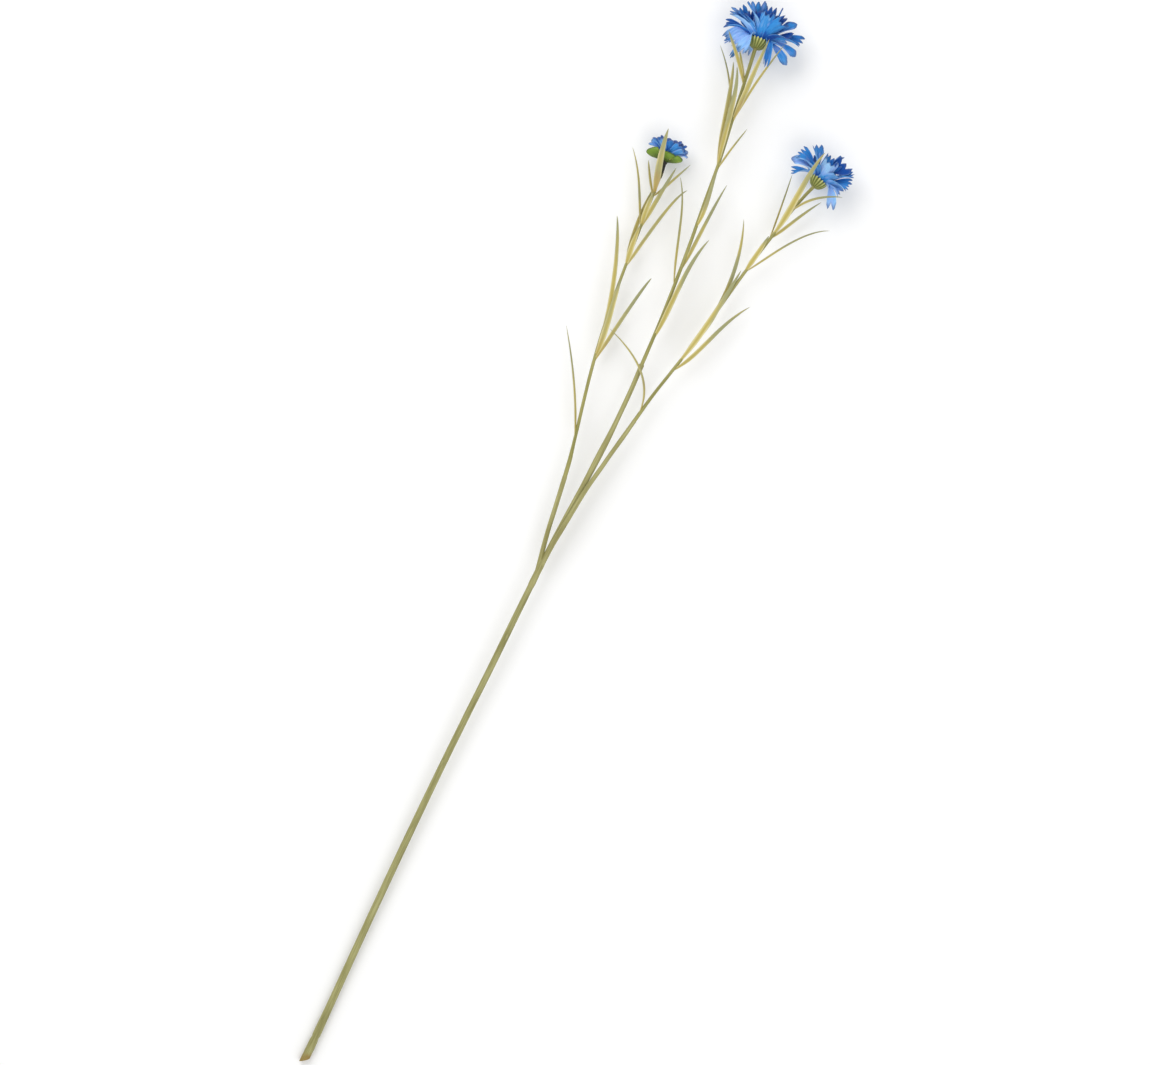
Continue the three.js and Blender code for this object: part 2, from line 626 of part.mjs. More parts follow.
// A solid from a geometry that points along +Y, turned to a head's axis, `rise` above its centre.
function placedOnAxis(geometry, head, rise) {
  const axis = vec(head.axis).normalize();
  const turn = new THREE.Quaternion().setFromUnitVectors(new THREE.Vector3(0, 1, 0), axis);
  const matrix = new THREE.Matrix4().compose(onAxis(head, rise), turn, new THREE.Vector3(1, 1, 1));
  return solidFromGeometry(geometry, matrix);
}

// The dome at the heart of a head, which its petals are sunk into.
function core(head) {
  const r = head.coreRadius;
  const profile = [0, 0.3, 0.6, 0.85, 1]
    .map((turn) => new THREE.Vector2(
      r * Math.sin(CORE_TURN * turn),
      CORE_STRETCH * r * Math.cos(CORE_TURN * turn),
    ));
  const dome = new THREE.LatheGeometry([
    new THREE.Vector2(0, FIT_GAP),
    ...profile.reverse(),
  ], 14);
  return placedOnAxis(dome, head, -RIM_DROP);
}

function petals(head, seed) {
  const rings = head.rings.flatMap((ring, i) => floretRing(head, ring, seed + 200 * (i + 1)));
  const list = [...head.florets, ...rings];
  return join([core(head), ...list.map((one, k) => floret(head, one, seed + 17 * k))]);
}

// A ribbed cup below the rim, with a socket for the sprig's end.
function calyx(head) {
  const { calyxRadius: rim, calyxDepth: depth, calyxRibs: ribs, plugRadius } = head;
  const bore = plugRadius + FIT_GAP;
  const profile = [
    [0, -depth], [bore + CALYX_WALL, -depth], [0.56 * rim, -0.86 * depth],
    [0.76 * rim, -0.55 * depth], [0.93 * rim, -0.22 * depth], [rim, 0],
    [rim - CALYX_WALL, 0], [0.6 * rim, -CALYX_FLOOR], [0, -CALYX_FLOOR],
  ].map(([r, y]) => new THREE.Vector2(r, y));
  const cup = new THREE.LatheGeometry(profile, 2 * ribs);
  const position = cup.getAttribute("position");
  for (let i = 0; i < position.count; i += 1) {
    const row = i % profile.length;
    if (row >= 2 && row <= 5) {
      const column = Math.floor(i / profile.length);
      const swell = column % 2 === 0 ? 1 + RIB_SWELL : 1 - RIB_SWELL;
      position.setX(i, position.getX(i) * swell);
      position.setZ(i, position.getZ(i) * swell);
    }
  }
  const socket = new THREE.CylinderGeometry(bore, bore, 2 * PLUG_DEPTH, 16);
  socket.rotateY(Math.PI / (3 * ribs)).translate(0, -depth, 0);
  return placedOnAxis(cup, head, -RIM_DROP).subtract(placedOnAxis(socket, head, -RIM_DROP));
}

// The last two route points of a sprig, which stand in the socket of its head's calyx.
function plugIn(head) {
  const bottom = -RIM_DROP - head.calyxDepth;
  return [bottom - PLUG_SHANK, bottom + PLUG_DEPTH - FIT_GAP]
    .map((rise) => [...onAxis(head, rise).toArray(), head.plugRadius]);
}

// ---- the bud's cup of sepals --------------------------------------------------------------

const SEPAL_OUTLINE = [[0, 0.5], [0.25, 0.84], [0.55, 1], [0.82, 1], [1, 0.6]];

// The neck, which ends just under the seat that the sepals stand on.
function budNeck(head) {
  const top = -head.sepalDrop - 0.5 * SEPAL_SEAT - FIT_GAP;
  const flare = [[top - 1, 1.55], [top, 2]]
    .map(([rise, radius]) => [...onAxis(head, rise).toArray(), radius]);
  return rod([...BUD_NECK, ...flare], SMALL_SIDES);
}

// A sepal's offsets are measured from the foot of the cup.
function sepal(head, [across, along, up, halfWidth, gutter, roll]) {
  const axis = vec(head.axis).normalize();
  const foot = onAxis(head, -head.sepalDrop);
  const out = new THREE.Vector3(across, along, up);
  const rise = out.dot(axis);
  const radial = out.clone().addScaledVector(axis, -rise);
  const start = onAxis(head, 0.4 - head.sepalDrop).addScaledVector(radial, 0.14);
  const belly = foot.clone().addScaledVector(radial, 0.75).addScaledVector(axis, 0.2 * rise);
  const inward = axis.clone().addScaledVector(radial, -rise / radial.length() / out.length());
  const outline = (v) => {
    const next = SEPAL_OUTLINE.findIndex(([at]) => at >= v - 1e-9);
    const [v0, w0] = SEPAL_OUTLINE[Math.max(next - 1, 0)];
    const [v1, w1] = SEPAL_OUTLINE[next];
    return v1 > v0 ? w0 + ((w1 - w0) * (v - v0)) / (v1 - v0) : w1;
  };
  return sheet({
    path: new THREE.QuadraticBezierCurve3(start, belly, foot.clone().add(out)),
    half: (v) => halfWidth * outline(v),
    gutter: () => THREE.MathUtils.degToRad(gutter),
    facing: (v) => hollowFacing(inward, roll, v),
    rows: SEPAL_OUTLINE.map(([v], i) => evenRow(i % 4 ? 5 : 3, v)),
    thickness: SEPAL_THICKNESS,
  });
}

function sepals(head) {
  const ring = new THREE.CylinderGeometry(2.6, 2.3, SEPAL_SEAT, 14);
  const seat = placedOnAxis(ring, head, -head.sepalDrop);
  return join([seat, ...head.sepals.map((one) => sepal(head, one))]);
}

// ---- assembly -----------------------------------------------------------------------------

const OLIVE_STEM = 0xa7a57c;
const OLIVE_ARM = 0x9b9a66;
const STRAW_LEAF = 0xb9ad63;
const CALYX_GREEN = 0x8a925a;
const SEPAL_GREEN = 0x6f8a3a;
const NECK_DARK = 0x29260f;
const PETAL_BLUE = 0x4a86d0;
const BUD_BLUE = 0x4576bd;
const STEEL = 0x8d8a84;

// The sleeve, bored through for the wire and open past both of its ends.
function mainStem() {
  const sleeve = rod(MAIN_STEM, STEM_SIDES, { slant: CUT_SLANT });
  const bore = MAIN_STEM.map(([x, y, z]) => [x, y, z, WIRE_RADIUS + FIT_GAP]);
  bore[0][1] -= 4;
  bore[bore.length - 1][1] += 2;
  return sleeve.subtract(rod(bore, SMALL_SIDES));
}

// The wire ends below the fork's spigot.
function stemWire() {
  return rod(MAIN_STEM.slice(0, -1), SMALL_SIDES, { radiusOf: () => WIRE_RADIUS });
}

// The fork's spigot runs from its foot down the stem's middle line.
function spigot() {
  const [below, end] = MAIN_STEM.slice(-2).map(vec);
  const inner = end.clone().addScaledVector(below.sub(end).normalize(), SPIGOT_LENGTH);
  const outer = vec(FORK_FOOT[1]);
  return rod([inner, outer].map((p) => [...p.toArray(), WIRE_RADIUS]), SMALL_SIDES);
}

// An arm with the socket that takes its sprig's plug.
function arm(route, sprig) {
  const socket = [sprig[0], sprig[1]].map(([x, y, z, r]) => [x, y, z, r + FIT_GAP]);
  const [low, high] = socket.map(vec);
  const along = high.sub(low).normalize();
  const start = vec(socket[0]).addScaledVector(along, -FIT_GAP).toArray();
  const end = vec(socket[1]).addScaledVector(along, 1).toArray();
  const hole = rod([[...start, socket[0][3]], [...end, socket[1][3]]], SMALL_SIDES);
  return { solid: rod(route, ARM_SIDES), hole };
}

function fork() {
  const arms = [
    arm(LEFT_ARM, LEFT_SPRIG),
    arm(CENTRE_ARM, CENTRE_SPRIG),
    arm(RIGHT_ARM, RIGHT_SPRIG),
  ];
  const foot = rod(FORK_FOOT, STEM_SIDES);
  const body = join([foot, spigot(), ...arms.map((one) => one.solid)]);
  return arms.reduce((whole, one) => whole.subtract(one.hole), body);
}

function sprig(route, leaves) {
  const plug = rod(route.slice(0, 2).concat([[...route[2].slice(0, 3), route[1][3]]]), SPRIG_SIDES);
  const stem = rod(route.slice(2), SPRIG_SIDES);
  return join([stem, plug, ...leaves.map(leaf)]);
}

const spray = new THREE.Group();
spray.add(
  namedMesh("main_stem", mainStem(), OLIVE_STEM, 0.6),
  namedMesh("stem_wire", stemWire(), STEEL, 0.4, 1),
  namedMesh("fork", fork(), OLIVE_ARM, 0.6),
  namedMesh("left_sprig", sprig(LEFT_SPRIG, LEFT_LEAVES), STRAW_LEAF, 0.55),
  namedMesh("centre_sprig", sprig([...CENTRE_SPRIG, ...plugIn(TOP_BLOOM)], CENTRE_LEAVES), STRAW_LEAF, 0.55),
  namedMesh("right_sprig", sprig([...RIGHT_SPRIG, ...plugIn(RIGHT_BLOOM)], RIGHT_LEAVES), STRAW_LEAF, 0.55),
  namedMesh("top_bloom_calyx", calyx(TOP_BLOOM), CALYX_GREEN, 0.6),
  namedMesh("top_bloom_petals", petals(TOP_BLOOM, 8), PETAL_BLUE, 0.85),
  namedMesh("right_bloom_calyx", calyx(RIGHT_BLOOM), CALYX_GREEN, 0.6),
  namedMesh("right_bloom_petals", petals(RIGHT_BLOOM, 10), PETAL_BLUE, 0.85),
  namedMesh("left_bud_neck", budNeck(LEFT_BUD), NECK_DARK, 0.6),
  namedMesh("left_bud_sepals", sepals(LEFT_BUD), SEPAL_GREEN, 0.6),
  namedMesh("left_bud_petals", petals(LEFT_BUD, 3), BUD_BLUE, 0.85),
);

const box = new THREE.Box3().setFromObject(spray);
spray.position.set(-0.5 * (box.min.x + box.max.x), -0.5 * (box.min.y + box.max.y), -box.min.z);

export default spray;
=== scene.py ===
"""Dresses the cornflower spray: stems, leaves, calyxes, cloth petals and the stage around them."""

import math

import bpy
from bpy.props import FloatProperty, FloatVectorProperty, IntProperty, PointerProperty
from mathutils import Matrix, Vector


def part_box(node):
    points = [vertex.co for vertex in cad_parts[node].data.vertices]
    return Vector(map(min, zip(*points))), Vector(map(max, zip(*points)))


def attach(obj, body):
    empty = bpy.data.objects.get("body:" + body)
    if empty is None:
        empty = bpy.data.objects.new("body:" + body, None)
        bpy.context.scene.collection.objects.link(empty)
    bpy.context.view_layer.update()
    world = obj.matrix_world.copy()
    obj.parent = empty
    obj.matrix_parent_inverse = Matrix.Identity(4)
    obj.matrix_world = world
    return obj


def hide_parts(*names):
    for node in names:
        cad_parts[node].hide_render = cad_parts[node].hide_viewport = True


bl_info = {
    "name": "Cornflower Spray",
    "version": (1, 0, 0),
    "blender": (4, 5, 0),
    "location": "3D View > Sidebar > Cornflower",
    "description": "Builds an artificial cornflower spray with cloth petals",
    "category": "Add Mesh",
}

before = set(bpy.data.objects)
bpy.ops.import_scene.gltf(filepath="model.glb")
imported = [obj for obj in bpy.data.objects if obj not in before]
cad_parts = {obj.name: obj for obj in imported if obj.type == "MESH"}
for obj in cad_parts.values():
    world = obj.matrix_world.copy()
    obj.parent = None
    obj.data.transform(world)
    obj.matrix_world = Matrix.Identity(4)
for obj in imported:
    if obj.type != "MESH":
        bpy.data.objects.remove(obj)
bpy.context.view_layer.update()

MM = 0.001
# Lowest corner of the main stem on the drawing that all the routes below are given in, in mm.
STEM_CORNER = Vector((-3.549, -3.2074, 0.0544))
DRAWING_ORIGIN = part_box("main_stem")[0] - STEM_CORNER * MM
UP = Vector((0, 0, 1))

# ---- routes: each point is [x, y, z, radius] in mm on the drawing ----------------------------

MAIN_STEM = [
    [-1, -1.4, 2.5, 2.5], [-0.75, 8, 2.7, 2.4], [-0.7, 10.6, 2.75, 2.38],
    [-0.64, 13.3, 2.8, 2.02], [-0.6, 16, 2.9, 2.33], [-0.4, 35, 3.35, 2.12],
    [-0.2, 65, 4.1, 2.06], [0.1, 95, 4.85, 2.04], [0.55, 125, 5.6, 2.03],
    [1.15, 155, 6.4, 1.98], [1.95, 185, 7.2, 1.9], [3, 215, 8, 1.88], [4.25, 245, 8.75, 1.88],
    [5.2, 275, 9.6, 1.84], [5.95, 296, 10.15, 1.76],
]
FORK_FOOT = [
    [5.94, 295.6, 10.14, 1.68], [6.05, 298.4, 10.2, 1.95], [6.25, 305, 10.35, 1.84],
    [6.4, 310, 10.5, 1.95], [6.5, 313, 10.55, 1.6],
]
LEFT_ARM = [
    [6.3, 303, 10.35, 1.3], [4.85, 312, 10.35, 1.35], [3.8, 318, 10.35, 1.35],
    [1.95, 330, 10.3, 1.33], [0.8, 340, 10.2, 1.35], [-0.4, 350, 10.15, 1.33],
    [-1.25, 357, 10.1, 1.38], [-1.75, 361, 10.05, 1.34],
]
CENTRE_ARM = [
    [6.5, 306, 10.4, 1.6], [7.0, 320, 10.5, 1.6], [8.2, 340, 10.8, 1.55], [9.8, 360, 11.1, 1.6],
    [11.0, 380, 11.5, 1.78], [11.7, 392, 11.7, 1.6], [12.0, 402, 11.9, 1.38],
    [12.3, 420, 12.3, 1.36], [12.1, 431, 12.5, 1.36], [11.95, 436.5, 12.6, 1.5],
]
RIGHT_ARM = [
    [6.6, 306, 10.5, 1.4], [7.5, 322, 12, 1.45], [9.1, 335, 13.2, 1.4],
    [11.95, 358, 13.5, 1.32], [15.15, 375, 13.3, 1.26], [16.85, 384, 13.2, 1.24],
    [19.1, 395, 13.1, 1.3], [20.45, 402, 13.05, 1.2], [21.2, 406, 13.05, 1.2],
]
LEFT_SPRIG = [
    [-1.7, 360.4, 10.05, 1.24], [-3, 370, 10, 1.22], [-3.9, 375, 10, 1.12],
    [-4.85, 380, 10, 0.98], [-6.95, 391, 10, 0.96], [-9.5, 404, 10, 0.95],
    [-12.6, 421, 10.1, 0.95], [-15.4, 440, 10.2, 0.92], [-17.7, 462, 10.3, 0.9],
    [-19.4, 485, 10.4, 0.85], [-20.6, 508, 10.45, 0.78], [-21.6, 529, 10.5, 0.7],
    [-22, 537.5, 10.6, 0.68],
]
CENTRE_SPRIG = [
    [11.95, 436, 12.6, 1.1], [11.5, 460, 13.1, 1.0], [10.4, 485, 13.6, 1.0],
    [8.8, 510, 14.1, 0.98], [6.7, 535, 14.8, 0.95], [4.8, 560, 15.5, 0.92],
    [1.8, 585, 16.2, 0.9], [-0.3, 604, 16.9, 0.95], [-1.8, 617, 17.9, 1.05],
]
RIGHT_SPRIG = [
    [21.05, 405.4, 13.05, 1.1], [24.7, 423, 13.1, 0.96], [29.5, 442, 13.2, 0.92],
    [34.2, 461, 13.3, 0.92], [39.6, 488, 13.6, 0.9], [43.6, 508, 13.8, 0.9],
    [48.7, 530, 14.1, 0.88], [53.8, 551, 14.5, 0.86], [57, 561.5, 15.2, 0.92],
]
BUD_NECK = [[-22.0, 537.0, 10.6, 0.95], [-22.15, 538.8, 10.6, 1.05], [-22.8, 541.8, 10.65, 1.4]]

# Each leaf is [root, first, second, tip, width, roll]: its blade passes through the four points
# at even steps, and roll in degrees turns it from lying flat to standing on its edge.
LEFT_LEAVES = [
    [[-4.9, 381, 10], [-13, 400, 10.5], [-23.8, 420, 9.5], [-36.5, 440, 7.5], 2.2, 60],
    [[-13.6, 427, 10.1], [-10.2, 448, 11.5], [-6.3, 470, 11], [-3, 483.5, 9.5], 2.3, 35],
    [[-13.8, 429, 10.1], [-14.8, 445, 12.6], [-17, 462, 13], [-18.5, 476, 12], 2.8, 5],
    [[-14, 430, 10.1], [-18, 458, 12.8], [-26.5, 487, 12.5], [-35.5, 508, 10], 2.5, 20],
    [[-19.1, 484, 10.4], [-16, 500, 12.5], [-11, 522, 14.5], [-4.8, 536.5, 14.5], 2.2, 40],
    [[-19.1, 484, 10.4], [-22.2, 499, 8.5], [-23.5, 516, 8], [-22.8, 531, 8.3], 2.4, 30],
    [[-19.2, 484, 10.4], [-20.2, 492, 12], [-20.9, 500, 12.2], [-21.1, 508, 11.7], 2.6, 0],
    [[-20.5, 507, 10.4], [-27, 520, 11], [-34, 533.5, 11], [-43.5, 547, 9], 2.2, 55],
    [[-20.5, 507, 10.4], [-19, 520, 12], [-17.5, 533, 13], [-15.8, 546, 13.2], 2.4, 30],
    [[-20.6, 508, 10.4], [-21.4, 515, 12], [-21.8, 522, 12.2], [-21.9, 528, 11.8], 2.4, 0],
    [[-21.4, 526, 10.5], [-17.5, 533, 11], [-13.8, 541, 11.5], [-9, 551, 11], 2, 50],
    [[-21.4, 526, 10.5], [-26, 533, 8], [-29.5, 539, 6], [-32.2, 544.4, 5], 2, 50],
    [[-21.5, 528, 10.5], [-24.2, 539, 17], [-26.8, 550, 21.5], [-28.7, 563, 23.5], 3.35, 10],
]
CENTRE_LEAVES = [
    [[11.6, 452, 13], [12.9, 472, 15], [13.7, 495, 15.5], [18, 516.5, 14], 2.7, 25],
    [[10.4, 484, 13.6], [3, 505, 12], [-3.5, 526, 9.5], [-12.2, 543, 8], 2.2, 55],
    [[9.9, 493, 13.8], [11.3, 511, 13.5], [12.4, 530, 13], [14.3, 549, 12], 2.4, 40],
    [[8, 519, 14.4], [8.4, 531, 16.6], [7, 543, 16.8], [5.8, 555, 16.2], 1.9, 0],
    [[5.4, 553, 15.3], [7, 563, 15.5], [9.3, 573, 15.5], [11.8, 582, 15], 2, 60],
    [[5.1, 556, 15.4], [-0.5, 575, 17.5], [-5.7, 596, 18.5], [-11, 613, 18], 2.7, 25],
    [[5.1, 556, 15.4], [1, 576, 19], [-2.5, 595, 20.5], [-8, 611, 20.5], 2.7, 15],
    [[2.3, 580, 16], [-3, 592, 15], [-11, 606, 13.5], [-22, 619.5, 12], 2, 55],
    [[0, 603, 16.7], [-7, 612, 21], [-14, 619.5, 25], [-20.5, 626.5, 27], 2.3, 30],
    [[-0.1, 604, 16.7], [-4, 610, 18], [-7.5, 615.5, 18.5], [-10.7, 620.5, 18.5], 2, 40],
    [[2.3, 581, 16.1], [2.3, 598, 20], [2.2, 615, 24], [2.5, 631.5, 26.4], 2.4, 5],
    [[2.3, 581, 16.1], [4.4, 600, 18.5], [7.3, 616, 20], [11.5, 633, 21.5], 2, 50],
]
RIGHT_LEAVES = [
    [[21.8, 409, 13.1], [16.5, 428, 15.5], [3, 440, 17], [-13, 447.5, 15.5], 2, 55],
    [[29.3, 441, 13.2], [37.5, 456, 13.5], [44.6, 474, 13], [54.5, 491.5, 11.5], 2.5, 35],
    [[30.4, 446, 13.2], [35, 465, 15.5], [38.7, 487, 15.8], [41.3, 508, 14.8], 2.7, 0],
    [[32.9, 456, 13.3], [38, 482, 11.8], [37.3, 510, 11], [30.7, 535.5, 10], 2.5, 30],
    [[43.5, 508, 13.8], [52.5, 522, 14], [64, 538, 13.5], [78, 549, 12], 2, 60],
    [[43.5, 508, 13.8], [45, 516, 15.5], [46.4, 524, 15.5], [47.6, 532, 15], 2.5, 5],
    [[48.6, 530, 14.1], [47.6, 544, 12], [46.6, 557, 10], [45.5, 570, 8.5], 1.9, 60],
    [[48.8, 531, 14.1], [54, 540, 12], [60, 551, 11], [67, 562, 10], 2.2, 45],
    [[49.2, 533, 14.1], [52.2, 550, 19], [53.7, 568, 24.5], [57, 586, 28.5], 3, 5],
    [[53.5, 550, 14.4], [58.5, 557.5, 17], [66, 563.5, 20], [76.5, 568, 21.2], 2, 55],
]

# A head's centre lies just above its calyx rim, and its axis points out of the flower. Each floret
# is [across, along, up, half width, gutter, roll, lobes, tone]: the middle of its toothed rim
# measured from the centre, half the cloth's width there, the angle that its hollow bends through,
# the turn of that hollow up to the sky, its number of teeth, and 0 for pale to 1 for deep blue.
# That tone is partly the cloth's own colour and partly painted shade on florets that lie in shadow.
# Each ring of hidden florets is [count, from, to, polar, reach]: angles round and off the axis.
# The rim, depth and ribs are the calyx's, and plug is the radius of the sprig's end in it. The
# petals' feet stand on a core, foot above the centre. Their teeth are tooth long, and get broader
# as point grows.
TOP_BLOOM = {
    "centre": [-2.9, 630, 17.5], "axis": [-0.05, 0.97, -0.2], "rim": 5.8, "depth": 4.8,
    "ribs": 18, "plug": 1.1, "core": 4.6, "foot": 0, "tooth": 2.4, "point": 1.5,
    "florets": [
        [-18.5, 11.2, 1, 5.8, 100, 60, 4, 0.6], [-21.8, 6.6, 5, 5, 120, 50, 4, 0.15],
        [-12.8, -11, 5, 9, 40, 85, 7, 0.0], [-10.6, 18.8, 3.5, 7, 80, 80, 4, 0.4],
        [-0.6, 14, 13, 7.6, 240, 0, 5, 0.55], [10.8, 11.8, 11.5, 7.4, 220, 15, 5, 0.7],
        [5.2, 22.2, 0, 1.6, 90, 40, 1, 0.9], [-2.2, 20.4, 1, 5.6, 120, 20, 4, 1.1],
        [16.2, 16.8, 1, 2.8, 40, 85, 1, 0.35], [23.8, 7.2, 2, 5.2, 110, 60, 4, 0.6],
        [23.4, -0.4, -1, 2.8, 40, 85, 1, 0.3], [20.8, -7, -1, 3, 40, 85, 1, 0.25],
        [9.4, -15, 8, 2.6, 170, 90, 3, 0.5], [-4.4, -9, -10, 4.6, 60, 10, 3, 0.2],
        [-21.8, 0.6, -4, 5, 80, 50, 4, 0.7], [-18.4, -8, -7, 4.6, 60, 50, 3, 0.4],
        [-10.8, -15, -9, 2.6, 90, 10, 3, 0.4], [-6.2, 15, 6.5, 5, 60, 20, 3, 1.5],
        [16.5, 7, 6, 5.4, 90, 50, 4, 1.0], [4.2, 17, 5, 4.4, 60, 0, 3, 1.6],
        [9.8, 17.4, 3, 5.4, 120, 30, 4, 1.2], [-12.8, 11.4, 3, 5.8, 90, 60, 4, 0.8],
    ],
    "rings": [[6, 200, 340, 62, 17], [2, 40, 142, 52, 13]],
    "seed": 8,
}
RIGHT_BLOOM = {
    "centre": [60.6, 572.3, 15.3], "axis": [0.28, 0.94, -0.17], "rim": 5.2, "depth": 4.4,
    "ribs": 16, "plug": 1, "core": 4.1, "foot": -0.2, "tooth": 2.2, "point": 1.5,
    "florets": [
        [-20.6, 4, 3.5, 3.4, 60, 80, 1, 0.0], [-16.8, -1.2, -6, 4, 60, 50, 3, 0.4],
        [-17.6, 9.4, 1, 5.8, 100, 70, 5, 0.35], [-10, 17.6, 2, 4.8, 80, 70, 3, 0.4],
        [-6.6, 19, -3, 2.6, 90, 50, 1, 0.35], [0.8, 16.8, -6, 4, 90, 50, 3, 0.5],
        [1, 9.8, 12, 7.6, 230, 0, 5, 0.2], [7, 17.8, -1, 3.4, 90, 50, 2, 0.5],
        [10.4, 15, 3, 6.4, 44, 110, 3, 0.95], [17, 10.4, 4.5, 5, 90, 65, 5, 0.55],
        [17.6, 2.8, 4.5, 5.2, 80, 75, 5, 0.4], [12.6, -13.6, 2.5, 3.2, 40, 85, 2, -0.1],
        [14.4, -2.4, -5, 5, 60, 60, 3, 0.1], [-8.5, 8, 7, 5.6, 100, 40, 4, 0.7],
        [10, 5.6, 8.5, 5.4, 90, 50, 4, 0.45], [5.6, 12.6, 6, 5, 110, 20, 3, 0.95],
    ],
    "rings": [[5, 200, 340, 62, 16], [2, 50, 130, 52, 11.5]],
    "seed": 10,
}
LEFT_BUD = {
    "centre": [-23.8, 550.8, 10.5], "axis": [-0.03, 0.98, -0.12],
    "core": 3, "foot": -1.2, "tooth": 1.1, "point": 2.6,
    "florets": [
        [-8.4, 7.4, -0.5, 5, 60, 75, 3, 0.6], [-11.8, 3, -1, 3.8, 50, 60, 2, 0.2],
        [-3.6, 9, 0, 5, 60, 85, 3, 0.8], [1, 9.8, 0, 5, 50, 80, 3, 0.9],
        [5.2, 9.2, 0, 4.8, 50, 75, 3, 0.7], [8.8, 7.2, -0.5, 4.8, 50, 75, 3, 0.6],
        [11.4, 4.4, 0.5, 3.8, 50, 60, 2, -0.1], [-7.8, 6.2, 4.2, 4.4, 60, 0, 2, 0.5],
        [-3.8, 7.4, 6, 4.6, 60, 0, 3, 0.9], [1.4, 8, 6.4, 5, 60, 0, 3, 1.1],
        [6.2, 6.8, 5.6, 4.6, 60, -10, 3, 0.7], [9.2, 4.6, 5.4, 3.2, 60, -10, 2, 0.45],
    ],
    "rings": [[2, 235, 305, 56, 9.6]],
    "seed": 3,
    "sepal_drop": 4.4,
    "sepals": [
        [-10, 3.6, 3.2, 4.1, 60, -75], [8.8, 5.2, 3, 3.3, 100, -30], [2.2, 5.4, 5.6, 4.4, 100, 0],
        [-4.5, 4.6, -6.4, 3.7, 100, 0], [5.4, 4.6, -6, 3.7, 100, 0],
    ],
}

# The stage, in metres, and the camera over it, whose lens and sensor are in mm.
FLOOR_HALF = 4.0
LAMPS = [(-0.9, 0.7, 1.0), (0.8, -0.4, 0.5)]  # each is x, y and its share of the light
LAMP_HEIGHT = 1.3
LAMP_SIZE = 1.2
LENS_LENGTH = 100
SENSOR_WIDTH = 36
VIEW_CENTRE = (16.4, 334.6, 13)  # on the drawing
VIEW_TURN = 24.2  # degrees from the drawing

# Small bumps on the main stem: where each stands, and [along, up, radius] of the points of one.
NUB_PLACES = [(0.9, 120, 7.2), (1.2, 185, 9.0), (5.4, 265, 11.0)]
NUB_SHAPE = [(-2.6, -0.5, 0.05), (-1.3, 0, 0.48), (0, 0.1, 0.672), (1.3, 0, 0.48),
             (2.6, -0.5, 0.05)]

CUT_SLANT = 0.75  # rise of the stem's cut end per mm across it
STEM_KINK = 3  # point of the main stem where it is bent and bruised
LEAF_SHARE = 0.6  # half a blade's width, as a share of its listed width
RIM_DROP = 0.8  # of a calyx rim below its head's centre
PLUG_SHANK = 1.2  # of a sprig's end that shows below its calyx
PLUG_TIP = 0.6  # of a sprig's end inside its calyx
SEAT_DROP = 0.3  # of the sepals' seat below the place where they start
NECK_DROP = 0.75  # of the top of the bud's neck below that place
SEPAL_START = 0.4  # of a sepal's foot above the place where the sepals start
SEPAL_FOOT = 0.14  # of a sepal's way out that its foot stands from the axis
SEPAL_BEND = 0.75  # of a sepal's way out that it runs before it turns up
SEPAL_LIFT = 0.2  # of a sepal's rise that it has there
CORE_STRETCH = 1.6  # height of a core's dome, as a share of its radius
CORE_FILL = 0.98  # radius of that dome, as a share of the core's
CORE_DROP = 0.5  # of the dome's middle below its head's centre
PETAL_FOOT = 1.2  # half the width of the narrowest petal where it starts
FOOT_SHARE = 0.28  # of a petal's rim width that its foot gains
FOOT_SPREAD = 0.92  # of a petal's foot from the axis, as a share of the core's radius
FOOT_GUTTER = 100  # degrees that every petal's foot bends through
PETAL_FLARE = 0.6  # power by which a petal widens from its foot to its rim
UPRIGHT_PULL = 0.55  # of the head's axis on the way that an upright petal leaves
UPRIGHT_SHARE = 0.45  # of a petal's reach that it runs before it leans out
ARCH_SHARE = 0.75  # of a drooping petal's spread that its arch stands out by
ARCH_START = 2.4  # of the arch of a petal that hardly spreads, out from the axis
ARCH_REACH = 8  # the furthest out that an arch stands
ARCH_RISE = 2.4  # of a drooping petal's arch above a head's centre
DROOP_RATE = 3  # share of droop that a petal gains as it points back along the axis
RING_SCATTER = 8  # degrees that a ring's florets stray from their even places
RING_STAGGER = 14  # degrees between the high and the low florets of a ring
RING_HALF_WIDTH = 0.2  # of a ring floret, as a share of its reach
RING_LOBES = 3  # teeth of a ring floret
RING_GUTTER = 110  # degrees that a ring floret's hollow bends through


def draw(k):
    """A seeded draw from 0 to 1: the same number k always gives the same value."""
    s = math.sin(k * 12.9898 + 4.1414) * 43758.5453
    return s - math.floor(s)


# ---- fields: values inside a node tree, written with ordinary sums ---------------------------


class Field:
    """A number or vector that runs through a node tree."""

    def __init__(self, tree, socket):
        self.tree = tree
        self.socket = socket

    def __add__(self, other):
        return combine(self.tree, "ADD", self, other)

    def __sub__(self, other):
        return combine(self.tree, "SUBTRACT", self, other)

    def __rsub__(self, other):
        return combine(self.tree, "SUBTRACT", other, self)

    def __mul__(self, other):
        return combine(self.tree, "MULTIPLY", self, other)

    def __truediv__(self, other):
        return combine(self.tree, "DIVIDE", self, other)

    def __pow__(self, other):
        return scalar(self.tree, "POWER", self, other)

    __radd__ = __add__
    __rmul__ = __mul__


def wire(tree, target, value):
    """Joins a field to a socket, or sets a plain value on it."""
    if isinstance(value, Field):
        tree.links.new(value.socket, target)
    elif target.type == "VECTOR" and not hasattr(value, "__len__"):
        target.default_value = (value, value, value)
    else:
        target.default_value = value


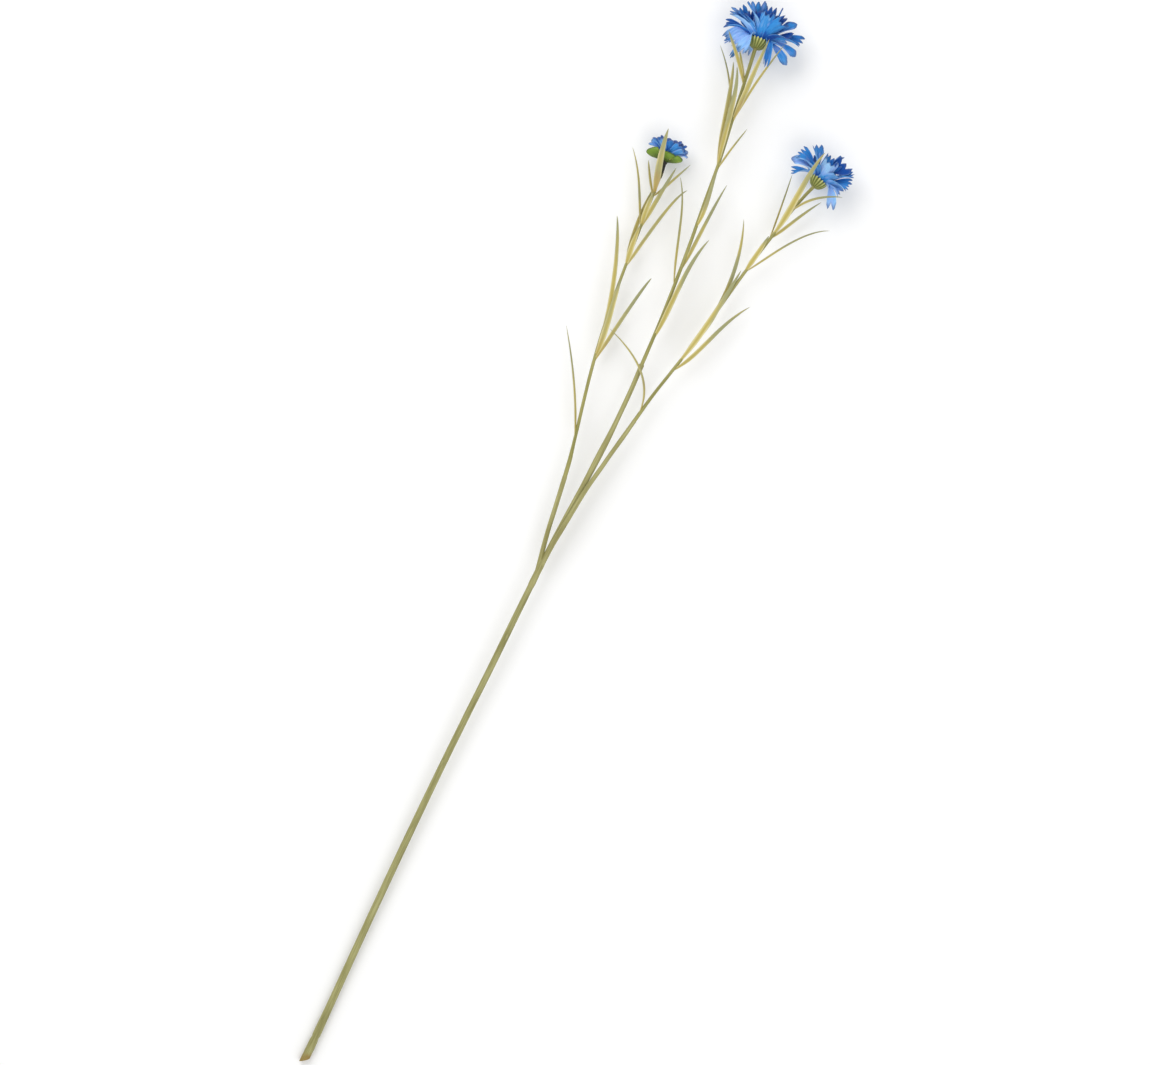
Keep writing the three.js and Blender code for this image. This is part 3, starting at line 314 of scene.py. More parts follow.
def add_node(tree, kind, inputs=(), **settings):
    """A node with its settings made and its inputs, keyed by name or number, joined or set."""
    made = tree.nodes.new(kind)
    for name, value in settings.items():
        setattr(made, name, value)
    for key, value in dict(inputs).items():
        wire(tree, made.inputs[key], value)
    return made


def field(tree, kind, inputs=(), output=0, **settings):
    """What comes out of a new node, as a field."""
    return Field(tree, add_node(tree, kind, inputs, **settings).outputs[output])


def scalar(tree, operation, *values):
    return field(tree, "ShaderNodeMath", enumerate(values), operation=operation)


def vector(tree, operation, *values):
    output = "Value" if operation == "DISTANCE" else "Vector"
    return field(tree, "ShaderNodeVectorMath", enumerate(values), output, operation=operation)


def is_vector(value):
    """Whether a field or a plain value has three numbers rather than one."""
    return value.socket.type == "VECTOR" if isinstance(value, Field) else hasattr(value, "__len__")


def combine(tree, operation, a, b):
    """Works on numbers, on vectors, or on a vector and the number that it is scaled by."""
    if not is_vector(a) and not is_vector(b):
        return scalar(tree, operation, a, b)
    if operation == "MULTIPLY" and is_vector(a) != is_vector(b):
        arrow, size = (a, b) if is_vector(a) else (b, a)
        return field(tree, "ShaderNodeVectorMath", {0: arrow, "Scale": size}, operation="SCALE")
    return vector(tree, operation, a, b)


def sine(value):
    return scalar(value.tree, "SINE", value)


def cosine(value):
    return scalar(value.tree, "COSINE", value)


def absolute(value):
    return scalar(value.tree, "ABSOLUTE", value)


def least(a, b):
    return scalar(a.tree, "MINIMUM", a, b)


def most(a, b):
    return scalar(a.tree, "MAXIMUM", a, b)


def unit(value):
    return vector(value.tree, "NORMALIZE", value)


def cross(a, b):
    return vector((a if isinstance(a, Field) else b).tree, "CROSS_PRODUCT", a, b)


def parts(value):
    """The x, y and z of a vector."""
    made = add_node(value.tree, "ShaderNodeSeparateXYZ", {0: value})
    return [Field(value.tree, made.outputs[i]) for i in range(3)]


def joined(tree, x, y, z):
    return field(tree, "ShaderNodeCombineXYZ", {0: x, 1: y, 2: z})


def ramp(value, low, high, start=0.0, end=1.0):
    """Eases from start to end while value runs from low to high."""
    return field(value.tree, "ShaderNodeMapRange", {0: value, 1: low, 2: high, 3: start, 4: end},
                 interpolation_type="SMOOTHSTEP")


def noise(place, scale, detail=2.0, roughness=0.5):
    return field(place.tree, "ShaderNodeTexNoise",
                 {"Vector": place, "Scale": scale, "Detail": detail, "Roughness": roughness})


def profile_curve(value, points):
    """Reads a smooth line through [x, y] points, both from 0 to 1."""
    made = add_node(value.tree, "ShaderNodeFloatCurve", {"Value": value})
    line = made.mapping.curves[0]
    while len(line.points) < len(points):
        line.points.new(0.5, 0.5)
    for spot, (x, y) in zip(line.points, points):
        spot.location = (x, y)
    made.mapping.update()
    return Field(value.tree, made.outputs[0])


# ---- geometry trees --------------------------------------------------------------------------


def new_tree(name, inputs):
    """A geometry tree with its named inputs, as fields, keyed by name."""
    tree = bpy.data.node_groups.new(name, "GeometryNodeTree")
    tree.interface.new_socket("Geometry", in_out="OUTPUT", socket_type="NodeSocketGeometry")
    tree.interface.new_socket("Geometry", in_out="INPUT", socket_type="NodeSocketGeometry")
    for label, (kind, default) in inputs.items():
        made = tree.interface.new_socket(label, in_out="INPUT", socket_type=f"NodeSocket{kind}")
        if default is not None:
            made.default_value = default
    entry = tree.nodes.new("NodeGroupInput")
    return tree, {socket.name: Field(tree, socket) for socket in entry.outputs if socket.name}


def named(tree, name, kind="FLOAT"):
    """An attribute of the mesh, by its name."""
    return field(tree, "GeometryNodeInputNamedAttribute", {"Name": name}, data_type=kind)


def stored(geometry, name, value, kind="FLOAT"):
    return field(geometry.tree, "GeometryNodeStoreNamedAttribute",
                 {"Geometry": geometry, "Name": name, "Value": value}, data_type=kind)


def placed(geometry, **inputs):
    return field(geometry.tree, "GeometryNodeTransform", {"Geometry": geometry, **inputs})


def together(tree, *geometries):
    made = tree.nodes.new("GeometryNodeJoinGeometry")
    for geometry in geometries:
        tree.links.new(geometry.socket, made.inputs[0])
    return Field(tree, made.outputs[0])


def finish_tree(geometry, material, crease=50):
    """Rounds the shading except at creases, goes from mm to metres and sets the material."""
    tree = geometry.tree
    smooth = field(tree, "GeometryNodeSetShadeSmooth", {"Geometry": geometry, "Shade Smooth": True},
                   domain="FACE")
    angle = field(tree, "GeometryNodeInputMeshEdgeAngle")
    gentle = field(tree, "FunctionNodeCompare", {0: angle, 1: math.radians(crease)},
                   operation="LESS_THAN")
    creased = field(tree, "GeometryNodeSetShadeSmooth",
                    {"Geometry": smooth, "Shade Smooth": gentle}, domain="EDGE")
    sized = placed(creased, Translation=tuple(DRAWING_ORIGIN), Scale=(MM, MM, MM))
    plain = field(tree, "GeometryNodeRealizeInstances", {"Geometry": sized})
    dressed = field(tree, "GeometryNodeSetMaterial", {"Geometry": plain, "Material": material})
    exit_node = tree.nodes.new("NodeGroupOutput")
    tree.links.new(dressed.socket, exit_node.inputs[0])
    return tree


def sheet_template(tree, columns, rows):
    """Both faces of a flat sheet. Its points are (u, v, side), u from -1 to 1, v from 0 to 1."""
    grid = field(tree, "GeometryNodeMeshGrid",
                 {"Size X": 2, "Size Y": 1, "Vertices X": columns, "Vertices Y": rows})
    under = field(tree, "GeometryNodeFlipFaces", {"Mesh": grid})
    upper = placed(grid, Translation=(0, 0.5, 1))
    lower = placed(under, Translation=(0, 0.5, -1))
    both = together(tree, upper, lower)
    return stored(both, "sheet", field(tree, "GeometryNodeInputPosition"), "FLOAT_VECTOR")


def repeated(points, template):
    """A copy of the template for each point, with the point's attributes all over it."""
    copies = field(points.tree, "GeometryNodeInstanceOnPoints",
                   {"Points": points, "Instance": template})
    return field(points.tree, "GeometryNodeRealizeInstances", {"Geometry": copies})


def moved(geometry, position):
    return field(geometry.tree, "GeometryNodeSetPosition",
                 {"Geometry": geometry, "Position": position})


def welded(geometry, distance=0.004):
    return field(geometry.tree, "GeometryNodeMergeByDistance",
                 {"Geometry": geometry, "Distance": distance})


def rod_tree():
    """Round rods along every chain of edges, each as thick as its points say."""
    tree, given = new_tree("Rods", {
        "Step": ("Float", 1.5), "Sides": ("Int", 20), "Grain depth": ("Float", 0.02),
        "Slant": ("Float", 0.0), "Slant end": ("Float", 6.0), "Material": ("Material", None)})
    lines = field(tree, "GeometryNodeMeshToCurve", {"Mesh": given["Geometry"]})
    smooth = field(tree, "GeometryNodeCurveSplineType", {"Curve": lines}, spline_type="CATMULL_ROM")
    even = field(tree, "GeometryNodeResampleCurve", {"Curve": smooth, "Length": given["Step"]},
                 mode="LENGTH")
    length = field(tree, "GeometryNodeSplineParameter", output="Length")
    even = stored(even, "length", length)
    wobble = noise(joined(tree, length * 0.2, named(tree, "seed"), 0.0), 1.0) - 0.5
    radius = named(tree, "thick") * (1 + given["Grain depth"] * wobble * 2)
    ring = field(tree, "GeometryNodeCurvePrimitiveCircle",
                 {"Resolution": given["Sides"], "Radius": 1.0})
    ring = stored(ring, "ring", field(tree, "GeometryNodeInputPosition"), "FLOAT_VECTOR")
    skin = field(tree, "GeometryNodeCurveToMesh", {"Curve": even, "Profile Curve": ring,
                                                   "Scale": radius, "Fill Caps": True})
    place = field(tree, "GeometryNodeInputPosition")
    x, y, z = parts(place)
    near = ramp(y, 0.0, given["Slant end"], 1.0, 0.0)
    slanted = joined(tree, x, y + given["Slant"] * near * (x + 1), z)
    across, depth, _ = parts(named(tree, "ring", "FLOAT_VECTOR"))
    grain = joined(tree, across, depth, named(tree, "length"))
    skin = stored(moved(skin, slanted), "grain", grain, "FLOAT_VECTOR")
    return finish_tree(skin, given["Material"], 40)


def bezier(t, *handles):
    """A quadratic or cubic curve and its direction at t."""
    s = 1 - t
    if len(handles) == 3:
        a, b, c = handles
        return a * (s * s) + b * (s * t * 2) + c * (t * t), (b - a) * s + (c - b) * t
    a, b, c, d = handles
    spot = a * (s * s * s) + b * (s * s * t * 3) + c * (s * t * t * 3) + d * (t * t * t)
    return spot, (b - a) * (s * s) + (c - b) * (s * t * 2) + (d - c) * (t * t)


def blade_outline(t):
    """Half a blade's width along it: a narrow foot, a wide middle and a long point."""
    return (0.5 + ramp(t, 0.0, 0.28, 0.0, 0.5)) * (1 - t ** 3.2) ** 0.72


def leaf_tree():
    """Moulded blades with a raised rib, one for each point."""
    tree, given = new_tree("Leaf blades", {
        "Columns": ("Int", 11), "Rows": ("Int", 41), "Thickness": ("Float", 0.9),
        "Cup": ("Float", 0.16), "Material": ("Material", None)})
    blades = repeated(given["Geometry"], sheet_template(tree, given["Columns"], given["Rows"]))
    u, t, side = parts(named(tree, "sheet", "FLOAT_VECTOR"))
    handles = [named(tree, name, "FLOAT_VECTOR") for name in ("root", "first", "second", "tip")]
    spot, along = bezier(t, *handles)
    along = unit(along)
    flat = unit(cross(along, tuple(UP)))
    roll = named(tree, "roll")
    across = flat * cosine(roll) + cross(along, flat) * sine(roll)
    face = cross(across, along)
    seed = named(tree, "seed")
    wave = noise(joined(tree, t * 7, seed, 0.0), 1.0) - 0.5
    half = LEAF_SHARE * named(tree, "width") * blade_outline(t) * (1 + 0.14 * wave)
    off = absolute(u)
    closed = least(least(t * 25, (1 - t) * 12), 1.0)
    body = (1 - off ** 1.7) * 0.72 + ramp(off, 0.0, 0.26, 0.28, 0.0)
    lift = side * given["Thickness"] * 0.5 * (1 - 0.35 * t) * body * closed
    cup = given["Cup"] * off * off * half
    blades = moved(blades, spot + across * (u * half) + face * (lift + cup))
    grain = joined(tree, u * half, t * vector(tree, "DISTANCE", handles[0], handles[3]), seed * 9)
    blades = stored(blades, "grain", grain, "FLOAT_VECTOR")
    return finish_tree(welded(blades), given["Material"], 60)


def frame_round(axis):
    """Two directions that make a square frame with an axis."""
    tree = axis.tree
    right = unit(joined(tree, 1.0, 0.0, 0.0) - axis * parts(axis)[0])
    return right, cross(right, axis)


def cloth_tree(name, outline, rim):
    """Bent sheets, one for each point. outline gives their width and rim where each ends."""
    tree, given = new_tree(name, {
        "Columns": ("Int", 49), "Rows": ("Int", 17), "Thickness": ("Float", 0.3),
        "Ruffle": ("Float", 0.35), "Pleat": ("Float", 0.12), "Centre": ("Vector", None),
        "Axis": ("Vector", None), "Heart": ("Float", 3.0), "Heart height": ("Float", 3.0),
        "Material": ("Material", None)})
    sheets = repeated(given["Geometry"], sheet_template(tree, given["Columns"], given["Rows"]))
    u, v, side = parts(named(tree, "sheet", "FLOAT_VECTOR"))
    seed = named(tree, "seed")
    end = rim(tree, u, seed)
    t = v * end
    spot, along = bezier(t, *[named(tree, n, "FLOAT_VECTOR") for n in ("foot", "bend", "tip")])
    along = unit(along)
    turn = named(tree, "roll") * t
    facing = named(tree, "inward", "FLOAT_VECTOR") * cosine(turn) + sine(turn) * tuple(UP)
    across = unit(cross(along, facing))
    hollow = cross(across, along)
    half = outline(tree, t)
    bend = named(tree, "foot_gutter") * (1 - t) + named(tree, "rim_gutter") * t
    radius = half * 2 / bend
    angle = u * bend * 0.5
    closed = least(least((1 - absolute(u)) * 9, 1.0), least(least(v * 12, (1 - v) * 9), 1.0))
    thick = given["Thickness"] * closed * side * 0.5
    shrunk = radius - thick
    reach = named(tree, "reach")
    weave = joined(tree, u * half, t * reach, seed * 9)
    waves = sine(u * named(tree, "lobes") * 3.1 + seed * 6) * given["Ruffle"] * (t ** 3)
    folds = (noise(weave * (1.1, 0.09, 1.0), 1.0, 3.0) - 0.5) * given["Pleat"] * 8
    folds = folds * ramp(t, 0.05, 0.4)
    inwards = hollow * cosine(angle) - across * sine(angle)
    bent = spot + across * (shrunk * sine(angle)) + hollow * (radius - shrunk * cosine(angle))
    sheets = moved(sheets, bent + inwards * (waves + folds))
    sheets = stored(sheets, "weave", weave, "FLOAT_VECTOR")
    sheets = stored(sheets, "tipward", v * ramp(end, 0.6, 0.95, 0.75, 1.0))
    dome = heart(tree, given["Centre"], given["Axis"], given["Heart"], given["Heart height"])
    return finish_tree(together(tree, welded(sheets), dome), given["Material"], 60)


def toothed_rim(tree, u, seed):
    """Pointed teeth along a petal's end, each a little different."""
    lobes = named(tree, "lobes")
    step = (u + 1) * 0.5 * lobes
    tooth = scalar(tree, "FLOOR", step)
    gap = scalar(tree, "ROUND", step)
    cut = absolute((step - tooth) * 2 - 1) ** named(tree, "point")
    tip_draw = field(tree, "ShaderNodeTexWhiteNoise", {"Vector": joined(tree, tooth, seed, 0.0)})
    gap_draw = field(tree, "ShaderNodeTexWhiteNoise", {"Vector": joined(tree, gap, seed, 7.0)})
    notch = named(tree, "tooth") * (0.85 + 0.6 * gap_draw) * cut
    fray = noise(joined(tree, u * 9 * lobes, seed * 5, 0.0), 1.0, 1.0) - 0.5
    return 1 - 0.06 * tip_draw - notch + 0.04 * fray


def flared(tree, t):
    """Half a petal's width, from its foot to its rim."""
    foot = named(tree, "foot_half")
    return foot + (named(tree, "rim_half") - foot) * t ** PETAL_FLARE


def sepal_outline(tree, t):
    """Half a sepal's width, widest just past its middle."""
    line = profile_curve(t, [(0, 0.5), (0.25, 0.84), (0.55, 1), (0.82, 0.98), (1, 0.55)])
    return named(tree, "rim_half") * line


def sepal_rim(tree, u, seed):
    """Where a sepal ends, with its corners rounded off."""
    return 1 - 0.16 * (u * u) * (u * u)


def heart(tree, centre, axis, radius, height):
    """The dome that a head's petals are glued into."""
    ball = field(tree, "GeometryNodeMeshUVSphere", {"Segments": 36, "Rings": 24, "Radius": radius})
    place = field(tree, "GeometryNodeInputPosition")
    across, depth, rise = parts(place)
    right, sky = frame_round(axis)
    lift = most(rise, 0.0) / radius * height + least(rise, 0.0) * 0.08
    dome = moved(stored(ball, "weave", place, "FLOAT_VECTOR"),
                 centre + right * across + sky * depth + axis * lift)
    return stored(dome, "tone", 1.0)


def calyx_tree():
    """A ribbed cup turned about an axis, with a pale point on each rib's top."""
    tree, given = new_tree("Calyx cup", {
        "Around": ("Int", 217), "Along": ("Int", 45), "Centre": ("Vector", None),
        "Axis": ("Vector", None), "Rim radius": ("Float", 5.0), "Depth": ("Float", 4.0),
        "Ribs": ("Float", 16.0), "Rib depth": ("Float", 0.3), "Material": ("Material", None)})
    grid = field(tree, "GeometryNodeMeshGrid", {"Size X": 1, "Size Y": 1,
                                                "Vertices X": given["Around"],
                                                "Vertices Y": given["Along"]})
    u, v, _ = parts(field(tree, "GeometryNodeInputPosition"))
    v = v + 0.5
    angle = u * (2 * math.pi)
    axis = unit(given["Axis"])
    right, sky = frame_round(axis)
    rib = 0.5 + 0.5 * cosine(angle * given["Ribs"])
    outer = profile_curve(v, [(0, 0), (0.06, 0.3), (0.2, 0.56), (0.42, 0.8), (0.62, 0.95),
                              (0.78, 1), (0.83, 0.93), (0.9, 0.6), (1, 0)])
    height = profile_curve(v, [(0, 0), (0.06, 0.0), (0.2, 0.14), (0.42, 0.46), (0.62, 0.8),
                               (0.78, 1), (0.83, 0.99), (0.9, 0.84), (1, 0.8)])
    shown = ramp(v, 0.05, 0.2) * ramp(v, 0.78, 0.84, 1.0, 0.0)
    swell = (rib ** 0.7 - 0.5) * given["Rib depth"] * shown
    crown = ramp(v, 0.55, 0.78) * ramp(v, 0.8, 0.9, 1.0, 0.0) * (rib - 0.4) * 0.7
    radius = given["Rim radius"] * outer + swell
    rise = given["Depth"] * (height - 1) + crown
    spot = given["Centre"] + axis * rise
    spot = spot + right * (radius * cosine(angle)) + sky * (radius * sine(angle))
    cup = moved(stored(stored(grid, "rib", rib), "rise", v), spot)
    cup = field(tree, "GeometryNodeFlipFaces", {"Mesh": cup})
    return finish_tree(welded(cup, 0.002), given["Material"], 60)


# ---- turning a tree's result into a piece ----------------------------------------------------


def points_mesh(name, spots, numbers=(), vectors=(), edges=()):
    """Loose points or chains of them, with numbers and vectors on each."""
    mesh = bpy.data.meshes.new(name)
    mesh.from_pydata([tuple(p) for p in spots], list(edges), [])
    for key, values in dict(numbers).items():
        mesh.attributes.new(key, "FLOAT", "POINT").data.foreach_set("value", values)
    for key, values in dict(vectors).items():
        layer = mesh.attributes.new(key, "FLOAT_VECTOR", "POINT")
        layer.data.foreach_set("vector", [c for value in values for c in value])
    return mesh


def evaluated(name, mesh, tree, values):
    """The plain mesh that a tree makes from a mesh of points."""
    source = bpy.data.objects.new(name + "_source", mesh)
    bpy.context.scene.collection.objects.link(source)
    modifier = source.modifiers.new("Shape", "NODES")
    modifier.node_group = tree
    for item in tree.interface.items_tree:
        if item.in_out == "INPUT" and item.name in values:
            modifier[item.identifier] = values[item.name]
    bpy.context.view_layer.update()
    graph = bpy.context.evaluated_depsgraph_get()
    made = bpy.data.meshes.new_from_object(source.evaluated_get(graph), depsgraph=graph)
    source.modifiers.remove(modifier)
    bpy.data.objects.remove(source)
    if not made.polygons:
        raise RuntimeError(f"the tree for {name} made no faces")
    return made


def piece(name, meshes, nodes):
    """One object from several meshes, riding on the spray and standing for its CAD nodes."""
    made = bpy.data.objects.new(name, meshes[0])
    made.data.name = name
    bpy.context.scene.collection.objects.link(made)
    if len(meshes) > 1:
        extras = []
        for mesh in meshes[1:]:
            extra = bpy.data.objects.new(name + "_more", mesh)
            bpy.context.scene.collection.objects.link(extra)
            extras.append(extra)
        with bpy.context.temp_override(active_object=made,
                                       selected_editable_objects=[made, *extras]):
            bpy.ops.object.join()
    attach(made, "root")
    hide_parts(*nodes)
    return made


def rods_mesh(name, routes, tree, values, tints):
    """Chains of points for the rod tree, one for each route. tints says how brown each point is."""
    spots, thick, seeds, tint, edges = [], [], [], [], []
    for k, route in enumerate(routes):
        start = len(spots)
        for i, (x, y, z, radius) in enumerate(route):
            spots.append((x, y, z))
            thick.append(radius)
            seeds.append(3.7 * k)
            tint.append(tints(k, i, route))
            if i:
                edges.append((start + i - 1, start + i))
    mesh = points_mesh(name, spots, {"thick": thick, "seed": seeds, "tint": tint}, (), edges)
    return evaluated(name, mesh, tree, values)


def leaf_handles(leaf):
    """The handles of the curve that passes through a leaf's four points."""
    start, first, second, tip = (Vector(p) for p in leaf[:4])
    a = (-5 * start + 18 * first - 9 * second + 2 * tip) / 6
    b = (2 * start - 9 * first + 18 * second - 5 * tip) / 6
    return start, a, b, tip


def leaves_mesh(name, leaves, tree, values, seed):
    """A sprig's leaves, each with its curve, width and roll on one point."""
    handles = [leaf_handles(leaf) for leaf in leaves]
    numbers = {
        "width": [leaf[4] for leaf in leaves],
        "roll": [math.radians(leaf[5]) for leaf in leaves],
        "seed": [seed + 2.3 * k for k in range(len(leaves))],
    }
    vectors = dict(zip(("root", "first", "second", "tip"), zip(*handles)))
    return evaluated(name, points_mesh(name, vectors["root"], numbers, vectors), tree, values)


def head_axis(head):
    return Vector(head["axis"]).normalized()


def on_axis(head, rise):
    """The point on a head's axis that lies rise above its centre."""
    return Vector(head["centre"]) + head_axis(head) * rise


def ring_florets(head, ring, seed):
    """Seeded florets round a head, where no table gives them."""
    count, start, stop, polar, reach = ring
    axis = head_axis(head)
    right = (Vector((1, 0, 0)) - axis * axis.x).normalized()
    sky = right.cross(axis)
    florets = []
    for k in range(count):
        share = k / (count - 1)
        turned = RING_SCATTER * (draw(seed + k) - 0.5)
        tipped = RING_STAGGER * (k % 2) + RING_SCATTER * (draw(seed + k + 50) - 0.5)
        azimuth = math.radians(start + (stop - start) * share + turned)
        lean = math.radians(polar + tipped)
        out = axis * math.cos(lean)
        out += right * math.sin(lean) * math.cos(azimuth) + sky * math.sin(lean) * math.sin(azimuth)
        out *= reach * (0.96 + 0.06 * draw(seed + k + 90))
        half = reach * (RING_HALF_WIDTH + 0.04 * draw(seed + k + 130))
        tone = 0.35 + 0.5 * draw(seed + k + 170)
        florets.append([*out, half, RING_GUTTER, 0, RING_LOBES, tone])
    return florets


def sheet_points(name, rows):
    """One point for each sheet, with its curve, width and bend as attributes."""
    columns = {key: [row[key] for row in rows] for key in rows[0]}
    vectors = {key: column for key, column in columns.items() if isinstance(column[0], Vector)}
    numbers = {key: column for key, column in columns.items() if key not in vectors}
    return points_mesh(name, vectors["foot"], numbers, vectors)


def petal_row(head, floret, seed):
    """A petal's curve leaves its core along the axis, or arches over the rim where it droops."""
    x, y, z, half, gutter, roll, lobes, tone = floret
    axis, centre, out = head_axis(head), Vector(head["centre"]), Vector((x, y, z))
    reach, rise = out.length, out.dot(axis)
    radial = out - axis * rise
    spread = radial.length
    radial.normalize()
    foot = centre + radial * FOOT_SPREAD * head["core"] + axis * head["foot"]
    upright = (out.normalized() + axis * UPRIGHT_PULL).normalized()
    lean = foot + upright * UPRIGHT_SHARE * reach
    stand = min(ARCH_SHARE * spread + ARCH_START, ARCH_REACH)
    arch = centre + radial * stand + axis * ARCH_RISE
    droop = min(max(-DROOP_RATE * rise / reach, 0), 1)
    return {
        "foot": foot, "bend": lean.lerp(arch, droop), "tip": centre + out,
        "inward": axis - radial * max(rise / reach, 0),
        "foot_half": PETAL_FOOT + FOOT_SHARE * half, "rim_half": half,
        "foot_gutter": math.radians(FOOT_GUTTER), "rim_gutter": math.radians(gutter),
        "roll": math.radians(roll), "lobes": lobes, "tooth": head["tooth"] / reach,
        "reach": reach, "tone": tone, "point": head["point"], "seed": seed,
    }


def petals_mesh(name, head, tree, values):
    """All the petals of a head: the ones in its table and its rings."""
    florets = list(head["florets"])
    for i, ring in enumerate(head["rings"]):
        florets += ring_florets(head, ring, head["seed"] + 200 * (i + 1))
    rows = [petal_row(head, floret, head["seed"] + 1.7 * k) for k, floret in enumerate(florets)]
    return evaluated(name, sheet_points(name, rows), tree, values)


def sepal_row(head, sepal, seed):
    """A sepal's curve runs out from the seat and turns up round the petals."""
    x, y, z, half, gutter, roll = sepal
    axis, out, foot = head_axis(head), Vector((x, y, z)), on_axis(head, -head["sepal_drop"])
    rise = out.dot(axis)
    radial = out - axis * rise
    bend = math.radians(gutter)
    return {
        "foot": on_axis(head, SEPAL_START - head["sepal_drop"]) + radial * SEPAL_FOOT,
        "bend": foot + radial * SEPAL_BEND + axis * SEPAL_LIFT * rise, "tip": foot + out,
        "inward": axis - radial * (rise / radial.length / out.length),
        "rim_half": half, "foot_gutter": bend, "rim_gutter": bend, "roll": math.radians(roll),
        "lobes": 1.0, "reach": out.length, "seed": seed,
    }


def sepals_mesh(name, head, tree, values):
    rows = [sepal_row(head, sepal, 5.1 * k) for k, sepal in enumerate(head["sepals"])]
    return evaluated(name, sheet_points(name, rows), tree, values)


# ---- materials -------------------------------------------------------------------------------


def mixed(tree, share, a, b):
    """From colour a to colour b, each a field or plain red, green and blue."""
    made = add_node(tree, "ShaderNodeMix", data_type="RGBA")
    wire(tree, made.inputs[0], share)
    for slot, value in ((6, a), (7, b)):
        wire(tree, made.inputs[slot], value if isinstance(value, Field) else (*value[:3], 1.0))
    return Field(tree, made.outputs[2])


def srgb(r, g, b):
    """A colour given as 0 to 255 on a screen, in linear light."""
    return tuple(((c / 255 + 0.055) / 1.055) ** 2.4 if c > 10 else c / 255 / 12.92
                 for c in (r, g, b))


def attribute(tree, name, output="Vector"):
    return field(tree, "ShaderNodeAttribute", (), output, attribute_name=name)


def object_place(tree):
    return field(tree, "ShaderNodeTexCoord", (), "Object")


def finish_material(name, build, bump_distance, **constants):
    """A finish, whose build gives its colour, height and roughness in a shader tree."""
    material = bpy.data.materials.new(name)
    material.use_nodes = True
    tree = material.node_tree
    shader = tree.nodes["Principled BSDF"]
    tone, height, roughness = build(tree)
    wire(tree, shader.inputs["Base Color"], tone)
    wire(tree, shader.inputs["Roughness"], roughness)
    bump = add_node(tree, "ShaderNodeBump",
                    {"Height": height, "Distance": bump_distance, "Strength": 0.6})
    tree.links.new(bump.outputs[0], shader.inputs["Normal"])
    for key, value in constants.items():
        shader.inputs[key.replace("_", " ")].default_value = value
    return material


def stem_finish(name, base, shade, joint):
    """Moulded fibres along a stem, brown where two mouldings meet."""
    def build(tree):
        grain = attribute(tree, "grain")
        fibres = noise(grain * (5.0, 5.0, 0.06), 1.0, 4.0, 0.6)
        clouds = noise(grain * (0.5, 0.5, 0.05), 1.0, 3.0)
        patch = noise(grain * (1.6, 1.6, 0.5), 1.0, 4.0)
        body = mixed(tree, ramp(fibres * 0.6 + clouds * 0.4, 0.35, 0.65), shade, base)
        brown = ramp(attribute(tree, "tint", "Fac") * (0.4 + patch), 0.25, 0.8)
        pits = 0.5 * noise(grain * (3.0, 3.0, 1.2), 1.0, 3.0)
        height = noise(grain * (7.0, 7.0, 0.08), 1.0, 3.0) + pits
        rough = ramp(noise(grain * (2.0, 2.0, 0.2), 1.0), 0.3, 0.7, 0.42, 0.6)
        return mixed(tree, brown, body, joint), height, rough

    return finish_material(name, build, 0.00025, Specular_IOR_Level=0.4)


def leaf_finish(name, base, pale, tip, rust):
    """A veined blade, pale at its edges, grey-green at its tip and tan in patches."""
    def build(tree):
        grain = attribute(tree, "grain")
        u, v, _ = parts(attribute(tree, "sheet"))
        streak = noise(grain * (3.2, 0.07, 1.0), 1.0, 3.0, 0.6) - 0.5
        clouds = noise(grain * (0.25, 0.035, 1.0), 1.0, 3.0)
        body = mixed(tree, ramp(absolute(u) + streak * 0.9, 0.25, 0.95), base, pale)
        body = mixed(tree, ramp(clouds + v * 0.35, 0.6, 0.85), body, tip)
        body = mixed(tree, ramp(clouds - v * 0.25, 0.5, 0.72, 0.0, 0.75), body, rust)
        veins = cosine(u * 22) * 0.3
        height = noise(grain * (4.0, 0.1, 1.0), 1.0, 3.0) + veins
        rough = ramp(noise(grain * (1.0, 0.2, 1.0), 1.0), 0.3, 0.7, 0.4, 0.6)
        return body, height, rough

    return finish_material(name, build, 0.0002, Specular_IOR_Level=0.4)


def petal_finish(name, pale, mid, deep, dusk, lilac, root=0.5):
    """Streaked cloth, dusky at its teeth, with painted shade that deepens it from its foot up to
    root of the way along and on the inner face of its hollow.
    """
    def build(tree):
        weave = attribute(tree, "weave")
        x, y, _ = parts(weave)
        u, _, side = parts(attribute(tree, "sheet"))
        tipward, shade = attribute(tree, "tipward", "Fac"), attribute(tree, "tone", "Fac")
        streak = noise(weave * (1.5, 0.1, 1.0), 1.0, 4.0, 0.6) - 0.5
        clouds = noise(weave * (0.3, 0.12, 1.0), 1.0, 2.0) - 0.5
        # shade reads each floret's tone: partly the cloth's own colour, partly painted shade on
        # florets in shadow; side adds painted shade on the hollow's inner face
        depth = shade * 1.1 + side * 0.18 + streak * 0.9 + clouds * 0.5
        # painted shade: deeper at the petal's foot, fading out by root of the way along
        depth = depth + ramp(tipward, 0.0, root, 0.5, 0.0)
        body = mixed(tree, ramp(depth, 0.0, 0.5), pale, mid)
        body = mixed(tree, ramp(depth, 0.5, 1.1), body, deep)
        wash = ramp(clouds + (1 - shade) * 0.3, 0.15, 0.45, 0.0, 0.6)
        body = mixed(tree, wash, body, lilac)
        body = mixed(tree, ramp(absolute(u), 0.86, 1.0, 0.0, 0.4), body, pale)
        body = mixed(tree, ramp(tipward + streak * 0.16, 0.86, 1.0, 0.0, 0.75), body, dusk)
        threads = sine(x * 30) * sine(y * 30) * 0.05
        height = noise(weave * (2.6, 0.12, 1.0), 1.0, 4.0, 0.6) + threads
        return body, height, ramp(noise(weave, 1.0), 0.3, 0.7, 0.7, 0.85)

    return finish_material(name, build, 0.0004, Sheen_Weight=0.12, Sheen_Roughness=0.5,
                           Specular_IOR_Level=0.25)


